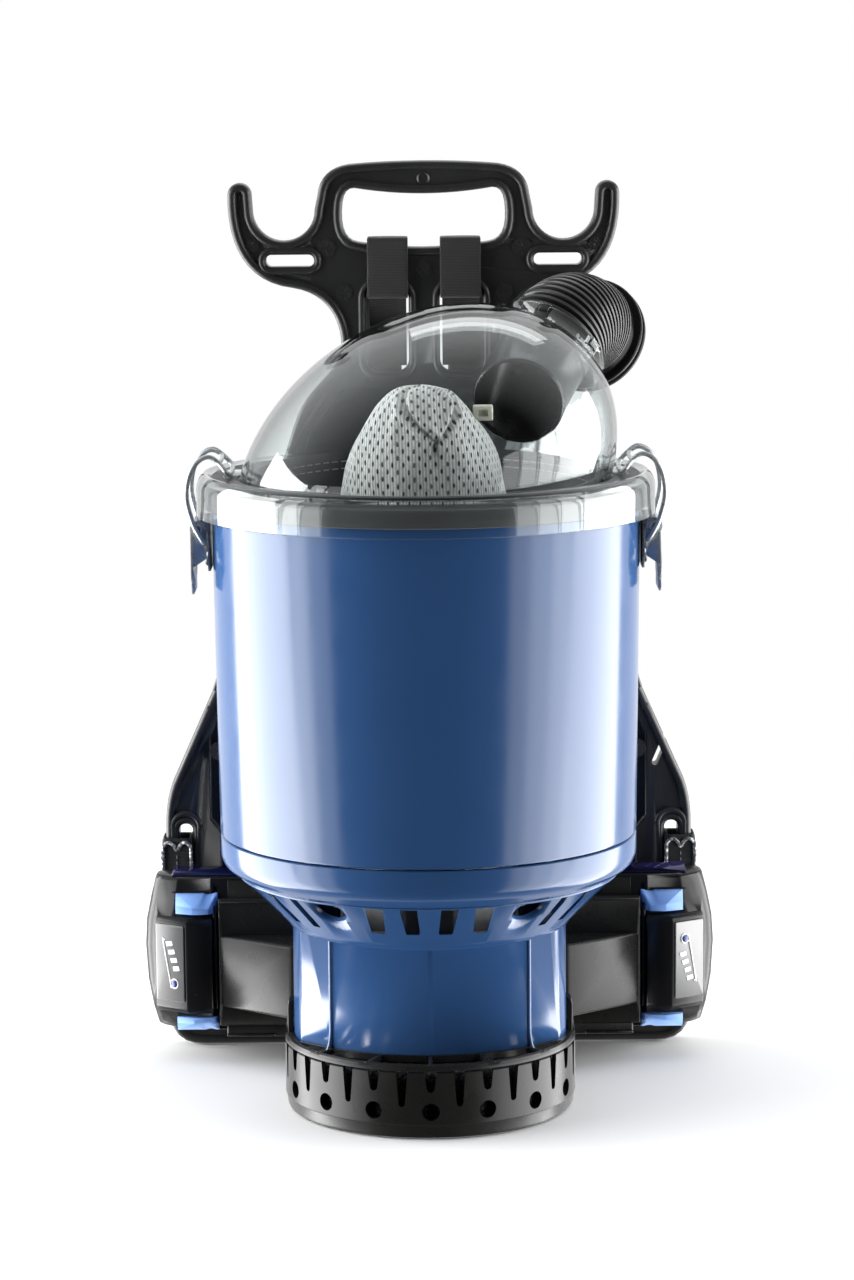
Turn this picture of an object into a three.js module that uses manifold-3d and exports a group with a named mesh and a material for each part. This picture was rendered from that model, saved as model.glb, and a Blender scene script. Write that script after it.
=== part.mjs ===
// Backpack vacuum cleaner, battery powered: canister with a clear domed lid, motor housing,
// washable exhaust filter, two battery packs and a moulded harness frame.
// Millimetres, +Z up. The origin is on the floor under the canister's axis, the canister
// faces -Y and the harness frame is behind it at +Y.
import * as THREE from 'three';
import { mergeVertices } from 'three/addons/utils/BufferGeometryUtils.js';
import Module from 'manifold-3d';

const wasm = await Module();
wasm.setup();

// ---------------------------------------------------------------- driving dimensions
const GAP = 0.3;                      // clearance between pieces that touch
const ROUND = 40;                     // facets on a large round part
const HIDDEN = 24;                    // facets on a round part inside the casing

const canister = { topRadius: 130.2, bottomRadius: 127.7, bottom: 172.6, top: 382, wall: 3 };
const housing = {
  floor: 42.1, neckRadius: 84.2, frontRadius: 100, frontCentre: 35, panelHalf: 60, shoulderTurn: 0.349, wall: 3,
};
const cover = { radius: 89.8, height: 41.2, wall: 3, holes: 16, holeRadius: 5.4, holeHeight: 17 };
const grille = { bottom: 42, top: 46, rim: 3.6, spokes: 14 };
const lid = { skirtRadius: 139.2, skirtBottom: 368, crest: 394, shelf: 389.5, wall: 2.6 };
const dome = { radius: 113, base: 391, height: 103, leanX: 29, leanY: 18, wall: 2.5 };
const tube = { radius: 28.5, bore: 26 };
const cuff = { core: 29, rib: 33, bore: 25.5, ribs: 12, bend: 35, flange: 36.5 };
const frame = { front: 142, back: 160, plate: 6, top: 577, foot: 171.7 };
const battery = { front: 97.6, back: 136.6, bottom: 21.6, top: 121.5, inner: 28, outer: 184 };
const carrier = { half: 135.8, front: 93, back: 141.7, bottom: 17.5, top: 108.5 };
const latch = { pivotX: 137.4, pivotZ: 361.5, wireX: 134.1, wireZ: 353.5, half: 25, wire: 1.2 };

const portCentre = new THREE.Vector3(76, 68, 461);            // where the inlet crosses the dome
const portAxis = new THREE.Vector3(0.50, 0.56, 0.66).normalize();
const cuffEndAxis = new THREE.Vector3(0.36, 0.85, -0.39).normalize();
const mouthCentre = new THREE.Vector3(57, 22, 433);           // open end of the inlet elbow

// ---------------------------------------------------------------- colours and finishes
const finish = (color, roughness, metalness = 0) =>
  new THREE.MeshStandardMaterial({ color, roughness, metalness });
const paint = {
  blue: finish(0x5b93c9, 0.2),
  black: finish(0x1b1c1e, 0.45),
  frame: finish(0x2b2c2e, 0.5),
  rubber: finish(0x151515, 0.7),
  steel: finish(0xb8bcc0, 0.25, 1),
  clear: finish(0xdfe6ea, 0.05),
  cloth: finish(0x9fa09e, 0.9),
  darkCloth: finish(0x232426, 0.95),
  foam: finish(0x0f0f10, 1),
  webbing: finish(0x121213, 0.9),
  button: finish(0xa9c6ee, 0.35),
  label: finish(0x3c3f86, 0.25),
  gauge: finish(0xb9bcc0, 0.3),
  brass: finish(0xb08d45, 0.35, 1),
  board: finish(0x1f5a35, 0.6),
  offWhite: finish(0xd9d8c8, 0.5),
};

// ---------------------------------------------------------------- geometry helpers
// A closed manifold solid from a three.js geometry, with its faces turned outwards.
function solid(geometry) {
  const bare = new THREE.BufferGeometry();
  bare.setAttribute('position', geometry.getAttribute('position').clone());
  if (geometry.index) bare.setIndex(geometry.index.clone());
  const merged = mergeVertices(bare, 1e-4);
  const corners = merged.getAttribute('position').array;
  const kept = [];
  for (let i = 0; i < merged.index.count; i += 3) {
    const [a, b, c] = [0, 1, 2].map((k) => merged.index.getX(i + k));
    if (a !== b && b !== c && a !== c) kept.push(a, b, c);
  }
  if (signedVolume(corners, kept) < 0) kept.reverse();
  const mesh = new wasm.Mesh({
    numProp: 3,
    vertProperties: Float32Array.from(corners),
    triVerts: Uint32Array.from(kept),
  });
  return new wasm.Manifold(mesh);
}

function signedVolume(corners, triangles) {
  const point = (i) => new THREE.Vector3().fromArray(corners, 3 * i);
  let sum = 0;
  for (let i = 0; i < triangles.length; i += 3) {
    const [a, b, c] = [0, 1, 2].map((k) => point(triangles[i + k]));
    sum += a.dot(b.cross(c));
  }
  return sum;
}

function toGeometry(manifold) {
  const mesh = manifold.getMesh();
  const geometry = new THREE.BufferGeometry();
  geometry.setAttribute('position', new THREE.BufferAttribute(mesh.vertProperties, 3));
  geometry.setIndex(new THREE.BufferAttribute(mesh.triVerts, 1));
  geometry.computeVertexNormals();
  return geometry;
}

const join = (...solids) => solids.reduce((sum, next) => sum.add(next));
const cut = (body, ...tools) => tools.reduce((rest, tool) => rest.subtract(tool), body);

// A box from its lowest to its highest corner.
function box(low, high) {
  const size = high.map((value, i) => value - low[i]);
  const geometry = new THREE.BoxGeometry(...size);
  return geometry.translate(...low.map((value, i) => value + size[i] / 2));
}

// A turned part about +Z from [radius, height] pairs. A ring's profile repeats its first pair.
function turned(profile, facets = ROUND) {
  const points = profile.map(([r, z]) => new THREE.Vector2(r, z));
  return new THREE.LatheGeometry(points, facets).rotateX(Math.PI / 2);
}

const ring = (inner, outer, bottom, top, facets = ROUND) =>
  turned([[inner, bottom], [outer, bottom], [outer, top], [inner, top], [inner, bottom]], facets);

const disc = (radius, bottom, top, facets = ROUND) =>
  turned([[0, bottom], [radius, bottom], [radius, top], [0, top]], facets);

// A flat outline given in (x, z), from the plane y = back towards -Y.
function panel(shape, front, back, curveSegments = 5) {
  const options = { depth: back - front, bevelEnabled: false, curveSegments };
  return new THREE.ExtrudeGeometry(shape, options).rotateX(Math.PI / 2).translate(0, back, 0);
}

// A flat outline given in (x, y), from z = bottom to z = top.
function slab(shape, bottom, top, curveSegments = 3) {
  const options = { depth: top - bottom, bevelEnabled: false, curveSegments };
  return new THREE.ExtrudeGeometry(shape, options).translate(0, 0, bottom);
}

const outline = (pairs) => new THREE.Shape(pairs.map(([x, y]) => new THREE.Vector2(x, y)));

// A rectangle with rounded corners, centred on (x, y).
function roundedRectangle(x, y, width, height, radius, Kind = THREE.Shape) {
  const [w, h] = [width / 2 - radius, height / 2 - radius];
  const shape = new Kind();
  shape.absarc(x + w, y + h, radius, 0, Math.PI / 2);
  shape.absarc(x - w, y + h, radius, Math.PI / 2, Math.PI);
  shape.absarc(x - w, y - h, radius, Math.PI, 1.5 * Math.PI);
  shape.absarc(x + w, y - h, radius, 1.5 * Math.PI, 2 * Math.PI);
  shape.closePath();
  return shape;
}

// A solid whose skin joins rows of points, each row a closed loop with the same count.
// The last row joins the first, so a tube's rows run out along it and back inside it.
function loft(rows) {
  const count = rows[0].length;
  const triangles = [];
  rows.forEach((row, r) => {
    const base = r * count;
    const after = ((r + 1) % rows.length) * count;
    for (let i = 0; i < count; i += 1) {
      const next = (i + 1) % count;
      triangles.push(base + i, base + next, after + next, base + i, after + next, after + i);
    }
  });
  const geometry = new THREE.BufferGeometry();
  const places = rows.flat().flatMap((p) => p.toArray());
  geometry.setAttribute('position', new THREE.Float32BufferAttribute(places, 3));
  geometry.setIndex(triangles);
  return toGeometry(solid(geometry));
}

// One row of a loft: a circle round a point, square to an axis. side fixes where it starts.
function circleRow(centre, axis, side, radius, facets) {
  const across = side.clone().addScaledVector(axis, -side.dot(axis)).normalize();
  const up = axis.clone().cross(across);
  const row = [];
  for (let i = 0; i < facets; i += 1) {
    const angle = (i * 2 * Math.PI) / facets;
    row.push(centre.clone()
      .addScaledVector(across, radius * Math.cos(angle))
      .addScaledVector(up, radius * Math.sin(angle)));
  }
  return row;
}

// Turn and move a part built about +Z so that it stands at a point along an axis.
function along(geometry, point, axis) {
  const turn = new THREE.Quaternion().setFromUnitVectors(new THREE.Vector3(0, 0, 1), axis);
  return geometry.applyQuaternion(turn).translate(point.x, point.y, point.z);
}

function mirrored(geometry) {
  return toGeometry(solid(geometry.clone().scale(-1, 1, 1)));
}

const part = new THREE.Group();

function add(name, geometry, material) {
  const mesh = new THREE.Mesh(geometry, material);
  mesh.name = name;
  part.add(mesh);
}

// The same piece on both sides: built at +X, mirrored at -X.
function addPair(name, geometry, material, suffix = '') {
  add(`${name}_right${suffix}`, geometry, material);
  add(`${name}_left${suffix}`, mirrored(geometry), material);
}

// ---------------------------------------------------------------- harness frame
// The right half of the frame's outline from the handle's top to the foot, in (x, z).
function frameOutline() {
  const half = new THREE.Path();
  half.moveTo(0, frame.top);
  half.quadraticCurveTo(26, frame.top, 48, 575);
  half.quadraticCurveTo(66, 572, 67.6, 556);
  half.lineTo(69.6, 546.5);
  half.absarc(89.5, 546.5, 19.9, Math.PI, 2 * Math.PI);
  half.lineTo(110, 556);
  half.absarc(117.6, 556, 7.6, Math.PI, 0, true);
  half.bezierCurveTo(126, 524, 114, 500, 84, 496.5);
  half.bezierCurveTo(62, 493, 53.5, 476, 53.5, 460);
  half.bezierCurveTo(54, 440, 76, 436, 85, 407);
  half.lineTo(137.5, 240.5);
  half.lineTo(167, 175);
  half.quadraticCurveTo(frame.foot, 162, frame.foot, 146);
  half.lineTo(frame.foot, 24);
  half.quadraticCurveTo(frame.foot, 0, 148, 0);
  return mirroredOutline(half.getPoints(6));
}

function mirroredOutline(half) {
  const other = half.filter((p) => p.x > 0).reverse().map((p) => new THREE.Vector2(-p.x, p.y));
  return new THREE.Shape([...half, ...other]);
}

function fingerSlot() {
  const slot = new THREE.Path();
  slot.moveTo(-52.3, 545);
  slot.quadraticCurveTo(-53, 527, -42, 525.5);
  slot.quadraticCurveTo(0, 518.5, 42, 525.5);
  slot.quadraticCurveTo(53, 527, 52.3, 545);
  slot.quadraticCurveTo(52, 560.5, 44, 560);
  slot.quadraticCurveTo(0, 552.5, -44, 560);
  slot.quadraticCurveTo(-52, 560.5, -52.3, 545);
  return slot;
}

function harnessFrame() {
  const shape = frameOutline();
  shape.holes.push(fingerSlot());
  for (const side of [-1, 1]) {
    shape.holes.push(roundedRectangle(side * 23.8, 470, 27.6, 56, 8, THREE.Path));
    shape.holes.push(roundedRectangle(side * 85.7, 514, 31, 7.8, 3.6, THREE.Path));
    shape.holes.push(roundedRectangle(side * 158.5, 107, 9, 82, 4.2, THREE.Path));
  }
  const plate = solid(panel(shape, frame.front, frame.back));
  const slant = solid(panel(roundedRectangle(0, 0, 4, 26, 1.9), frame.front - 1, frame.back + 1));
  const recess = [
    [0, 432], [54, 432], [74, 404], [126, 243], [143, 205], [143, 150], [136.5, 142], [136.5, 12],
  ];
  const half = recess.map(([x, z]) => new THREE.Vector2(x, z));
  const pocket = panel(mirroredOutline(half), frame.front - 1, frame.back - frame.plate);
  return cut(plate, solid(pocket), slant.rotate([0, -23, 0]).translate([152.2, 0, 196.5]));
}

add('harness_frame', toGeometry(harnessFrame()), paint.frame);

// ---------------------------------------------------------------- canister and mounting
add('canister_shell', turned([
  [canister.bottomRadius, canister.bottom],
  [canister.topRadius, canister.top],
  [canister.topRadius - canister.wall, canister.top],
  [canister.bottomRadius - canister.wall, canister.bottom + 3.4],
  [105, canister.bottom + 3.4],
  [105, canister.bottom],
  [canister.bottomRadius, canister.bottom],
]), paint.blue);

const saddleDepth = frame.back - frame.plate - GAP;
const saddle = cut(
  solid(box([-55, 117, 290], [55, saddleDepth, 335])),
  solid(disc(canister.topRadius + GAP, 280, 345)),
);
add('canister_saddle', toGeometry(saddle), paint.black);

// ---------------------------------------------------------------- motor housing
// The lower housing is round at the back and sides. Its front panel is a flatter arc, joined
// to the round part by a short slanted face at each side.
function housingSection(inset) {
  const { neckRadius, frontRadius, frontCentre, panelHalf, shoulderTurn } = housing;
  const spread = Math.asin(panelHalf / frontRadius);
  const shape = new THREE.Shape();
  shape.absarc(0, 0, neckRadius - inset, -shoulderTurn, Math.PI + shoulderTurn);
  shape.absarc(0, frontCentre, frontRadius - inset, 1.5 * Math.PI - spread, 1.5 * Math.PI + spread);
  shape.closePath();
  return shape;
}

// The two screws that hold the housing to the canister sit in scooped wells.
const wellPlace = (side) => new THREE.Vector3(side * 55, -83, 146);
const wellAxis = (side) => new THREE.Vector3(side * 0.42, -0.68, -0.6).normalize();

function motorHousing() {
  const seam = canister.bottom - 0.6;
  const bowl = solid(turned([
    [0, seam], [canister.bottomRadius, seam], [127.5, 160], [125, 154], [118.5, 149.5],
    [87, 118], [81, 114], [0, 114],
  ]));
  const hollow = solid(turned([
    [0, seam + 1], [124.2, seam + 1], [124.2, 161], [116.4, 152.5], [83, 120], [77, 117],
    [0, 117],
  ]));
  const neck = solid(slab(housingSection(0), housing.floor, 117, 24));
  const bore = solid(slab(housingSection(housing.wall), housing.floor - 1, 119, 24));
  const vents = [];
  for (const x of [-33, -12.5, 12.5, 33]) {
    const foot = x - Math.sign(x) * 2.9;
    const corners = [[foot - 4.2, 127], [foot + 4.2, 127], [x + 5.3, 147], [x - 5.3, 147]];
    vents.push(solid(panel(outline(corners), -125, -80)));
  }
  for (const side of [0, 1]) {
    for (const turn of [-45, -34, -20, 0, 20, 40, 60]) {
      const slot = solid(box([90, -3.2, 126], [125, 3.2, 147]));
      vents.push(slot.rotate([0, 0, side ? 180 - turn : turn]));
    }
  }
  const wells = [-1, 1].map((side) => solid(along(
    turned([[0, 0], [7.5, 0], [8.5, 7], [12.5, 16], [12.5, 40], [0, 40]], 16),
    wellPlace(side), wellAxis(side),
  )));
  return cut(join(bowl, neck), hollow, bore, ...vents, ...wells);
}

add('motor_housing', toGeometry(motorHousing()), paint.blue);

// ---------------------------------------------------------------- motor and blower
const plateTop = canister.bottom + 3.4 + GAP + 4;
add('motor_plate', ring(25, 122.8, plateTop - 4, plateTop, 32), paint.black);
add('motor_seal', ring(40, 52, canister.bottom + 0.2, plateTop - 4 - GAP, HIDDEN), paint.rubber);
add('motor_body', turned([
  [0, 66], [36, 66], [36, 96], [50, 96], [55, 101], [55, 172.5], [24, 172.5], [24, 169.5],
  [51.5, 169.5], [51.5, 153], [0, 153],
], HIDDEN), paint.steel);

function blower() {
  const hub = join(solid(disc(46, 157, 159, HIDDEN)), solid(disc(9, 153.3, 167, 12)));
  const blades = [];
  for (let i = 0; i < 8; i += 1) {
    blades.push(solid(box([8, -0.8, 158], [45, 0.8, 166])).rotate([0, 0, i * 45]));
  }
  return join(hub, ...blades);
}

add('motor_fan', toGeometry(blower()), paint.black);
add('control_board', box([-28, 66, 70], [28, 70, 112]), paint.board);

const screw = join(solid(disc(4.6, GAP, 3.2, 12)), solid(disc(2, GAP, 4, 6)));
addPair('housing_screw', along(toGeometry(screw), wellPlace(1), wellAxis(1)), paint.steel);

// ---------------------------------------------------------------- exhaust filter
// One opening cut from the cover's rim: wide at the rim, narrower and rounded at its foot.
function rimSlot(topWidth, footWidth, foot) {
  const shape = new THREE.Shape();
  shape.moveTo(topWidth / 2, cover.height + 2);
  shape.lineTo(-topWidth / 2, cover.height + 2);
  shape.lineTo(-footWidth / 2, foot + footWidth / 2);
  shape.absarc(0, foot + footWidth / 2, footWidth / 2, Math.PI, 2 * Math.PI);
  return solid(panel(shape, -cover.radius - 3, -cover.radius + 8, 2));
}

function filterCover() {
  const inner = cover.radius - cover.wall;
  const cup = solid(turned([
    [0, 0], [cover.radius - 2.5, 0], [cover.radius - 1, 2], [cover.radius, cover.height],
    [inner, cover.height], [inner - 1, cover.wall], [0, cover.wall],
  ]));
  const round = new THREE.Shape().absarc(0, cover.holeHeight, cover.holeRadius, 0, 2 * Math.PI);
  const hole = solid(panel(round, -cover.radius - 3, -cover.radius + 8, 4));
  const shortSlot = rimSlot(8, 5, 29);
  const longSlot = rimSlot(7.5, 4, 20);
  const step = 360 / cover.holes;
  const tools = [];
  for (let i = 0; i < cover.holes; i += 1) {
    tools.push(hole.rotate([0, 0, i * step]));
    tools.push(shortSlot.rotate([0, 0, i * step]));
    tools.push(longSlot.rotate([0, 0, (i + 0.5) * step]));
  }
  return cut(cup, ...tools);
}

// The grille is a spoked ring that follows the housing's neck, with two clips that grip it.
function exhaustGrille() {
  const plate = solid(disc(cover.radius, grille.bottom, grille.top));
  const hoop = solid(ring(cover.radius - grille.rim, cover.radius, grille.bottom, grille.top));
  const around = solid(slab(housingSection(-0.4), grille.bottom - 1, grille.top + 1, 24));
  const collar = cut(solid(slab(housingSection(-2.6), grille.bottom, grille.top, 24)), around);
  const spokes = [];
  for (let i = 0; i < grille.spokes; i += 1) {
    const spoke = solid(box([-1.1, -cover.radius + 1, grille.bottom], [1.1, -60, grille.top]));
    spokes.push(spoke.rotate([0, 0, (i * 360) / grille.spokes]));
  }
  const clips = [-1, 1].map((side) => solid(box(
    [side > 0 ? 85 : -88, -6, grille.bottom], [side > 0 ? 88 : -85, 6, 66],
  )));
  const web = cut(join(...spokes), around).intersect(plate);
  return join(hoop, collar.intersect(plate), web, ...clips);
}

add('filter_cover', toGeometry(filterCover()), paint.black);
add('exhaust_foam', ring(30, 85, cover.wall + GAP, grille.bottom - GAP, 32), paint.foam);
add('exhaust_grille', toGeometry(exhaustGrille()), paint.black);

// ---------------------------------------------------------------- dust filters
add('cone_filter', turned([
  [0, 181], [60, 181], [60, 280], [56, 340], [49, 377], [40, 400], [31, 418], [22, 434],
  [9, 444], [0, 445],
], HIDDEN), paint.cloth);
// The collar's hem is 11 mm lower in front than at the back.
const overCollar = box([-120, -120, 0], [120, 120, 20]).rotateX(0.0523).translate(0, 0, 392.5);
const hungCollar = cut(solid(ring(103.5, 106.5, 330, 398, 32)), solid(overCollar));
add('filter_collar', toGeometry(hungCollar), paint.darkCloth);
add('filter_ring', ring(107, 125, 374, 380, 32), paint.black);

// ---------------------------------------------------------------- lid
// The inlet elbow runs from its mouth inside the dome to the port in the dome's wall.
const elbowCurve = new THREE.QuadraticBezierCurve3(
  mouthCentre,
  portCentre.clone().addScaledVector(portAxis, -24),
  portCentre.clone().addScaledVector(portAxis, 6.5),
);

const rowsAlong = (curve, radius, steps, facets) =>
  Array.from({ length: steps + 1 }, (_, i) => {
    const [point, tangent] = [curve.getPoint(i / steps), curve.getTangent(i / steps)];
    return circleRow(point, tangent, new THREE.Vector3(1, -1, 0), radius, facets);
  });

// A pipe along a curve, and a solid rod along it.
const pipe = (curve, outer, bore, steps, facets) => loft([
  ...rowsAlong(curve, outer, steps, facets),
  ...rowsAlong(curve, bore, steps, facets).reverse(),
]);

const rod = (curve, radius, steps, facets) => loft([
  new Array(facets).fill(curve.getPoint(0)),
  ...rowsAlong(curve, radius, steps, facets),
  new Array(facets).fill(curve.getPoint(1)),
]);

// The dome is half an ellipsoid that leans towards the inlet; shrink makes its inner face.
function domeRings(shrink) {
  const rings = [[dome.base - 3, dome.radius - shrink, 0]];
  for (let k = 0; k < 9; k += 1) {
    const rise = Math.sin((k * Math.PI) / 18);
    const radius = (dome.radius - shrink) * Math.cos((k * Math.PI) / 18);
    rings.push([dome.base + rise * (dome.height - shrink), radius, rise]);
  }
  return rings;
}

function domeSkin(shrink) {
  const points = [];
  for (const [z, radius, lean] of domeRings(shrink)) {
    for (let i = 0; i < ROUND; i += 1) {
      const angle = (i * 2 * Math.PI) / ROUND;
      points.push([
        dome.leanX * lean + radius * Math.cos(angle),
        dome.leanY * lean + radius * Math.sin(angle),
        z,
      ]);
    }
  }
  points.push([dome.leanX, dome.leanY, dome.base + dome.height - shrink]);
  return points;
}

function domeSolid(shrink) {
  const points = domeSkin(shrink);
  const rows = (points.length - 1) / ROUND;
  const triangles = [];
  for (let i = 0; i < ROUND; i += 1) {
    const next = (i + 1) % ROUND;
    for (let row = 0; row < rows - 1; row += 1) {
      const [a, b] = [row * ROUND + i, row * ROUND + next];
      triangles.push(a, b, b + ROUND, a, b + ROUND, a + ROUND);
    }
    const top = (rows - 1) * ROUND;
    triangles.push(top + i, top + next, points.length - 1);
    if (i > 0 && i < ROUND - 1) triangles.push(0, i + 1, i);
  }
  const geometry = new THREE.BufferGeometry();
  geometry.setAttribute('position', new THREE.Float32BufferAttribute(points.flat(), 3));
  geometry.setIndex(triangles);
  return solid(geometry);
}

function domedLid() {
  const [out, low, shelf] = [lid.skirtRadius, lid.skirtBottom, lid.shelf];
  const rim = solid(turned([
    [out - 2.8, low], [out, low], [out, 386], [137.6, 391], [134.5, lid.crest], [131, 392.5],
    [129.6, shelf], [108, shelf], [108, shelf - lid.wall], [132, shelf - lid.wall], [134.6, 388],
    [out - 2.9, 384], [out - 2.8, low],
  ]));
  const catches = [-1, 1].map((side) => solid(box(
    [side > 0 ? 111 : -122, -18, shelf - 1], [side > 0 ? 122 : -111, 18, 393.4],
  )));
  const collar = solid(along(disc(38, -14, 7, 32), portCentre, portAxis));
  const port = solid(along(disc(tube.radius + 0.6, -6, 40, HIDDEN), portCentre, portAxis));
  const passage = solid(rod(elbowCurve, tube.radius + 0.7, 6, HIDDEN));
  const shell = join(domeSolid(0), rim, ...catches, collar);
  return cut(shell, domeSolid(dome.wall).translate([0, 0, -0.5]), port, passage);
}

add('lid_dome', toGeometry(domedLid()), paint.clear);
add('lid_seal', ring(116, 130, canister.top + GAP, lid.shelf - lid.wall - GAP), paint.rubber);

// ---------------------------------------------------------------- inlet elbow and hose cuff
add('inlet_elbow', pipe(elbowCurve, tube.radius, tube.bore, 6, HIDDEN), paint.black);

// The cuff leaves the port along its axis and bends over towards the wearer.
const cuffStart = portCentre.clone().addScaledVector(portAxis, 7.5);
const bendAngle = portAxis.angleTo(cuffEndAxis);
const bendInward = cuffEndAxis.clone()
  .addScaledVector(portAxis, -Math.cos(bendAngle)).normalize();

class BendCurve extends THREE.Curve {
  getPoint(t, target = new THREE.Vector3()) {
    const angle = t * bendAngle;
    return target.copy(cuffStart)
      .addScaledVector(bendInward, cuff.bend * (1 - Math.cos(angle)))
      .addScaledVector(portAxis, cuff.bend * Math.sin(angle));
  }
}

function ribbedCuff() {
  const bend = new BendCurve();
  const side = new THREE.Vector3(1, -1, 0);
  const row = (t, radius) =>
    circleRow(bend.getPoint(t), bend.getTangent(t), side, radius, 20);
  const rows = [];
  const pitch = 1 / cuff.ribs;
  for (let i = 0; i < cuff.ribs; i += 1) {
    rows.push(row(i * pitch, cuff.core), row((i + 0.35) * pitch, cuff.core));
    rows.push(row((i + 0.5) * pitch, cuff.rib), row((i + 0.8) * pitch, cuff.rib));
  }
  rows.push(row(1, cuff.core));
  for (let i = 6; i >= 0; i -= 1) rows.push(row(i / 6, cuff.bore));
  return loft(rows);
}

const cuffEnd = new BendCurve().getPoint(1);
const sleeve = turned([
  [cuff.bore, 0.3], [28, 0.3], [31, 9], [cuff.flange, 9], [cuff.flange, 12], [34.5, 13],
  [34.5, 14], [cuff.flange, 15], [cuff.flange, 18], [26, 18], [cuff.bore, 0.3],
], 32);
add('swivel_cuff', ribbedCuff(), paint.rubber);
add('cuff_sleeve', along(sleeve, cuffEnd, cuffEndAxis), paint.black);
add('elbow_clip', box([29, -4, 424], [41, 6, 433]), paint.offWhite);

// ---------------------------------------------------------------- lid latches
const crosswise = (radius, from, to, facets = 12) =>
  disc(radius, from, to, facets).rotateX(-Math.PI / 2);

function latchBracket() {
  const plate = box([130.6, -18.5, 335], [132, 18.5, 366]);
  const ears = [-1, 1].map((side) => solid(box(
    [131.5, side * 17.7 - 0.8, 353], [141.5, side * 17.7 + 0.8, 366.6],
  )));
  const bore = solid(crosswise(2.4, -30, 30)).translate([latch.pivotX, 0, latch.pivotZ]);
  return cut(join(solid(plate), ...ears), bore);
}

function latchLever() {
  const side = outline([
    [132.6, 361], [134.5, 365.8], [137.4, 366.8], [140.4, 365.8], [142.2, 361],
    [142.2, 338], [140.8, 338], [132.6, 343.5],
  ]);
  const cheeks = [-1, 1].map((end) => solid(panel(side, end * 21.8 - 0.8, end * 21.8 + 0.8)));
  const tab = solid(box([140.8, -22.6, 321], [142.2, 22.6, 350]));
  const bore = solid(crosswise(2.4, -30, 30)).translate([latch.pivotX, 0, latch.pivotZ]);
  const eye = solid(crosswise(1.7, -30, 30)).translate([latch.wireX, 0, latch.wireZ]);
  return cut(join(...cheeks, tab), bore, eye);
}

function latchBail() {
  const leg = [
    [latch.wireX, latch.wireZ], [140.6, 366], [143.9, 380], [142.2, 393], [137, 402.5],
    [130, 405.7], [124.5, 402], [118.2, 395],
  ];
  const near = leg.map(([x, z]) => new THREE.Vector3(x, -latch.half, z));
  const far = leg.map(([x, z]) => new THREE.Vector3(x, latch.half, z)).reverse();
  const inwards = (end) => new THREE.Vector3(latch.wireX, end * 19.6, latch.wireZ);
  const route = [inwards(-1), ...near, ...far, inwards(1)];
  const side = new THREE.Vector3(1, 2, 1);
  const rows = route.map((point, i) => {
    const before = route[Math.max(i - 1, 0)];
    const after = route[Math.min(i + 1, route.length - 1)];
    const axis = after.clone().sub(before).normalize();
    return circleRow(point, axis, side, latch.wire, 6);
  });
  const tip = (point) => new Array(6).fill(point);
  return loft([tip(route[0]), ...rows, tip(route.at(-1))]);
}

const pinPlace = [latch.pivotX, 0, latch.pivotZ];
addPair('latch_bracket', toGeometry(latchBracket()), paint.steel);
addPair('latch_pin', crosswise(2, -23.6, 23.6).translate(...pinPlace), paint.steel);
addPair('latch_lever', toGeometry(latchLever()), paint.steel);
addPair('latch_bail', latchBail(), paint.steel);

// ---------------------------------------------------------------- battery carrier
function batteryCarrier() {
  const { half, front, back, bottom, top } = carrier;
  const body = join(
    solid(box([-half, front, bottom + 7.5], [half, back, top])),
    solid(box([-130, front + 4, top - 1], [130, back, 120.5])),
    solid(box([-131, front + 1, bottom], [131, back, bottom + 8])),
  );
  const snout = solid(slab(outline([
    [-half, front + 1], [-88, 58], [88, 58], [half, front + 1],
  ]), 37.5, 85));
  const clearance = solid(disc(cover.radius + 1, bottom, 130));
  const bays = [-1, 1].map((side) => solid(box(
    [side > 0 ? 12 : -half - 2, front + 4.2, 21], [side > 0 ? half + 2 : -12, 137, 130],
  )));
  return cut(join(body, cut(snout, clearance)), ...bays);
}

add('battery_carrier', toGeometry(batteryCarrier()), paint.black);

// ---------------------------------------------------------------- battery packs
// The end cap's prow carries the charge gauge on a slanted facet, between two latches.
const prow = { low: 33.5, high: 100.5, facet: [[156, 88.5], [177, 102]] };

function batteryCase() {
  const { inner, outer, front, back, bottom, top } = battery;
  const core = solid(box([inner, front, bottom], [140, back, top]));
  const cap = solid(slab(outline([
    [138, front], [168, front], [outer - 4, 106], [outer, 114], [outer, 124], [outer - 12, back],
    [138, back],
  ]), bottom + 0.4, top));
  const nose = solid(slab(outline([
    [139.5, front + 1], [139.5, 90.5], ...prow.facet, [177, 112],
  ]), prow.low, prow.high));
  return join(core, cap, nose);
}

function batteryButton(top) {
  const shape = outline([[141, 97.2], [141, 91.5], [152, 89], [165, 96], [165, 97.2]]);
  const height = top ? [prow.high + 3, prow.high + 12] : [22.4, prow.low - 3];
  return slab(shape, ...height);
}

const facetRun = new THREE.Vector3(21, 13.5, 0);
const facetOut = new THREE.Vector3(13.5, -21, 0).normalize();
const gaugePlace = new THREE.Vector3(...prow.facet[0], (prow.low + prow.high) / 2)
  .addScaledVector(facetRun, 0.5).addScaledVector(facetOut, GAP + 0.5);
const gauge = box([-9.5, -0.5, -26], [9.5, 0.5, 26])
  .rotateZ(Math.atan2(facetRun.y, facetRun.x)).translate(gaugePlace.x, gaugePlace.y, gaugePlace.z);
const label = box([112, 103, battery.top + GAP], [166, 132, battery.top + GAP + 0.8]);

addPair('battery_case', toGeometry(batteryCase()), paint.black);
addPair('battery_button', batteryButton(true), paint.button, '_top');
addPair('battery_button', batteryButton(false), paint.button, '_bottom');
addPair('battery_gauge', gauge, paint.gauge);
addPair('battery_label', label, paint.label);
addPair('battery_contacts', box([12.3, 105, 40], [27.6, 129, 100]), paint.brass);

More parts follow.
